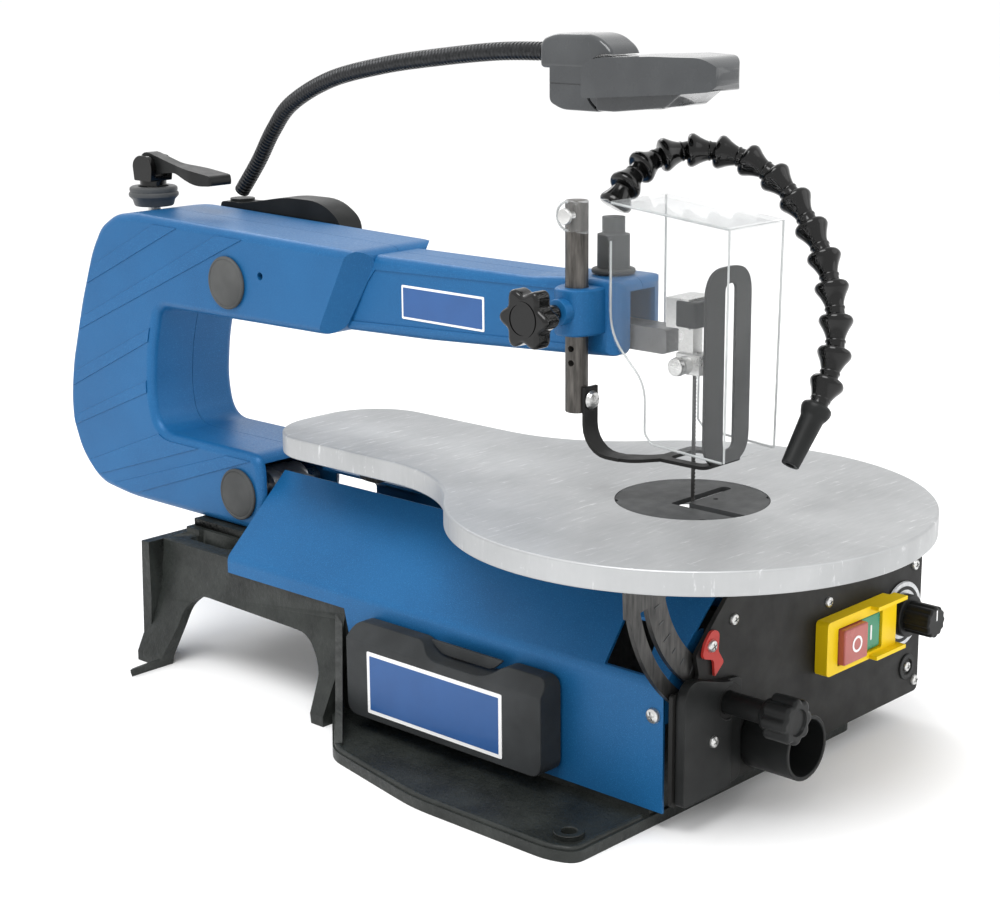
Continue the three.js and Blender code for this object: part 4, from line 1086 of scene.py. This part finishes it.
# ---- blade tension ----
def make_tension():
    profile = [(9.8, 0), (12, 0), (12.6, 0.6), (13.6, 4), (15.8, 6.2), (16, 7.4), (15.7, 8.4), (15.0, 9.0),
               (15.4, 10.2), (15.2, 11.6), (14.2, 12.4), (9.8, 12.5), (9.8, 0)]
    washer = turned("tension_washer_finished", profile, Z,
                    (0, TENSION_Y, 272.3), 72)
    stand_in(washer, GREY, "tension_washer")
    dressed("tension_yoke", GLOSS_BLACK, 1.2, 3)
    dressed("tension_lever", BLACK, 0.8, 2)


# ---- air hose ----
HOSE = [(0, 54, 303), (5, 52, 312), (17, 51.5, 321), (31, 48, 327), (43, 39.5, 329.5), (52, 27.5, 329),
        (58.5, 13.5, 325.5), (61.5, -1.5, 318), (61.5, -15, 307.5), (59, -27.5, 294.5), (55.5, -38.5, 281),
        (51, -47, 267), (46, -54, 251.5), (39.5, -58.5, 236), (31, -60.5, 222), (22, -61, 210.5)]
NOZZLE_TIP = (2, -59, 183.5)


def hose_link(name, start, end):
    along = Vector(end) - Vector(start)
    n = along.length
    profile = [(0, -0.4), (6.8, -0.4), (8.2, 0.3), (8.8, 1.5), (8.8, 2.8), (8.0, 4.4), (6.8, 6.4),
               (5.8, 8.6), (5.1, 10.6), (4.8, n * 0.7), (5.3, n * 0.73), (5.3, n * 0.78),
               (4.8, n * 0.81), (4.7, n + 0.9), (0, n + 0.9)]
    return turned(name, profile, along, start, 32)


def make_hose():
    for node, first in (("hose_lower", 0), ("hose_middle", 5), ("hose_upper", 10)):
        links = [hose_link(f"{node}_{i}", HOSE[i], HOSE[i + 1]) for i in range(first, first + 5)]
        stand_in(gather(links[0], *links[1:]), GLOSS_BLACK, node, smooth=50)
    start = Vector(HOSE[-1])
    along = Vector(NOZZLE_TIP) - start
    n = along.length
    profile = [(0, -0.4), (6.2, -0.4), (7.4, 0.4), (7.9, 1.6), (7.8, 3.4), (6.9, 5.8), (6.1, 7.4),
               (4.7, n - 0.4), (4.4, n), (2.6, n), (2.4, n - 0.3), (2.4, n - 8), (0, n - 8)]
    stand_in(turned("hose_nozzle_finished", profile, along, start, 40), BLACK, "hose_nozzle", smooth=40)
    stem = [(0, 0), (11.2, 0), (11.5, 0.4), (11.5, 1.6), (11, 2.2), (8.6, 2.6), (8.5, 20), (6.4, 20.6),
            (6, 21), (6, 29), (0, 29)]
    fitting = turned("air_fitting_finished", stem, Z, (0, 54, 268.8), 56)
    stand_in(fitting, RUBBER, "air_fitting")


# ---- work lamp ----
NECK = [(44, 404, 280.5), (41, 383, 301), (36, 362, 322), (31, 338, 340), (26, 297, 356.3),
        (22, 249, 366.3), (19, 204, 372.5), (15.5, 150, 378), (14, 108, 379.5)]
LAMP_X, LAMP_PIVOT, LENS_Y = 14, (61.5, 365), 39


def make_gooseneck():
    path = spaced(smooth_path(NECK, 20), 0.55)
    round_section = {low: polar(lambda a, r=low: r, 18) for low in (4.45, 5.0)}
    neck = sweep("gooseneck_finished", path, lambda i: round_section[5.0 if i % 5 < 3 else 4.45])
    stand_in(neck, NECK_STEEL, "gooseneck", smooth=40)


def make_lamp_elbow():
    lower = rounded([(101, 354), (92, 350.3), (66, 350.3), (62, 358), (62, 374), (101, 374)],
                    [3, 4, 2, 0, 0, 0])
    body = prism("lamp_elbow_finished", lower, "x", 2.3, 25.7)
    dome = rounded([(107.5, 371.5), (107.5, 386), (98, 389.6), (70, 390), (59, 383), (56.5, 377),
                    (62, 371.5)], [0, 5, 4.6, 8, 4, 2, 0], 6)
    upper = soften(prism("dome", dome, "x", 2, 26), 3.0, 4, 60)
    weld(soften(body, 1.0, 2, 60), upper)
    for low, high in ((1, 2.8), (25.2, 27)):
        cut(body, prism("seam", rectangle(50, 103, 363.6, 364.3), "x", low, high))
    cut(body, rod("neck_hole", 7.2, Z, (LAMP_X, 108, 340), 46.5, 0.01),
        rod("bowl", 15.2, X, (0, *LAMP_PIVOT), 30, 0.01, 72))
    stand_in(body, LAMP_PLASTIC, "lamp_elbow", smooth=40)


def lamp_shell():
    profile = rounded([(69, 374.5), (69, 358), (8, 362.5), (-6, 363.8), (-9.2, 368), (-9.2, 375),
                       (-3, 380.5), (23, 380.6), (60, 378.8)], [3, 2, 0, 1.5, 2, 3.5, 4.5, 4, 4], 6)
    shell = prism("lamp_head_finished", profile, "x", -12, 40)
    plan = rounded([(-9, 80), (37, 80), (37, 14), (24, -10), (4, -10), (-9, 6)], [0, 0, 16, 10, 8, 12], 10)
    keep(shell, prism("plan", plan, "z", 340, 390))
    return soften(shell, 3.0, 4, 50)


def make_lamp_head():
    body = lamp_shell()
    bezel = rounded([(64, 363), (64, 351.5), (52, 351.5), (19, 355), (8, 363)], [0, 2, 2, 2, 0])
    weld(body, soften(prism("bezel", bezel, "x", -3, 31), 0.9, 2, 60))
    cut(body, block("elbow_room", 1.7, 26.3, LAMP_PIVOT[0], 90, 340, 395, 0, 0.01))
    weld(body, rod("knuckle", 14, X, (2.5, *LAMP_PIVOT), 23, 0.6, 64))
    cut(body, turned("reflector", [(0, 338), (13.4, 338), (13.4, 353), (10, 360), (0, 364)], Z,
                     (LAMP_X, LENS_Y, 0), 56))
    stand_in(body, LAMP_PLASTIC, "lamp_head", smooth=40)
    profile = [(0, 0), (5, 0.1), (9, 1.0), (12, 3), (13, 5.5), (13, 6.5), (0, 6.5)]
    lens = turned("lamp_lens_finished", profile, Z, (LAMP_X, LENS_Y, 352.5), 56)
    stand_in(lens, LENS, "lamp_lens")


def make_lamp():
    dressed("lamp_base", BLACK, 2.0, 3)
    make_gooseneck()
    make_lamp_elbow()
    make_lamp_head()


def make_saw():
    make_base()
    make_panels()
    make_dust_port()
    make_switch()
    make_dial()
    make_tilt_lock()
    make_pointer()
    make_storage_box()
    make_label("box_plate", "storage_box", BOX_FACE_X, 61, 163, 19.5, 55.5, 2.2)
    make_housing()
    make_label("arm_plate", "arm_housing_left", -ARM_HALF + 0.7, 128.8, 192.6, 230.4, 249.6, 1.3)
    make_pivot_caps()
    make_table()
    make_trunnion()
    make_post()
    make_post_knob()
    make_foot()
    make_guard()
    make_blade()
    make_drive()
    make_tension()
    make_hose()
    make_lamp()


make_saw()
make_camera()
make_studio()
make_floor()
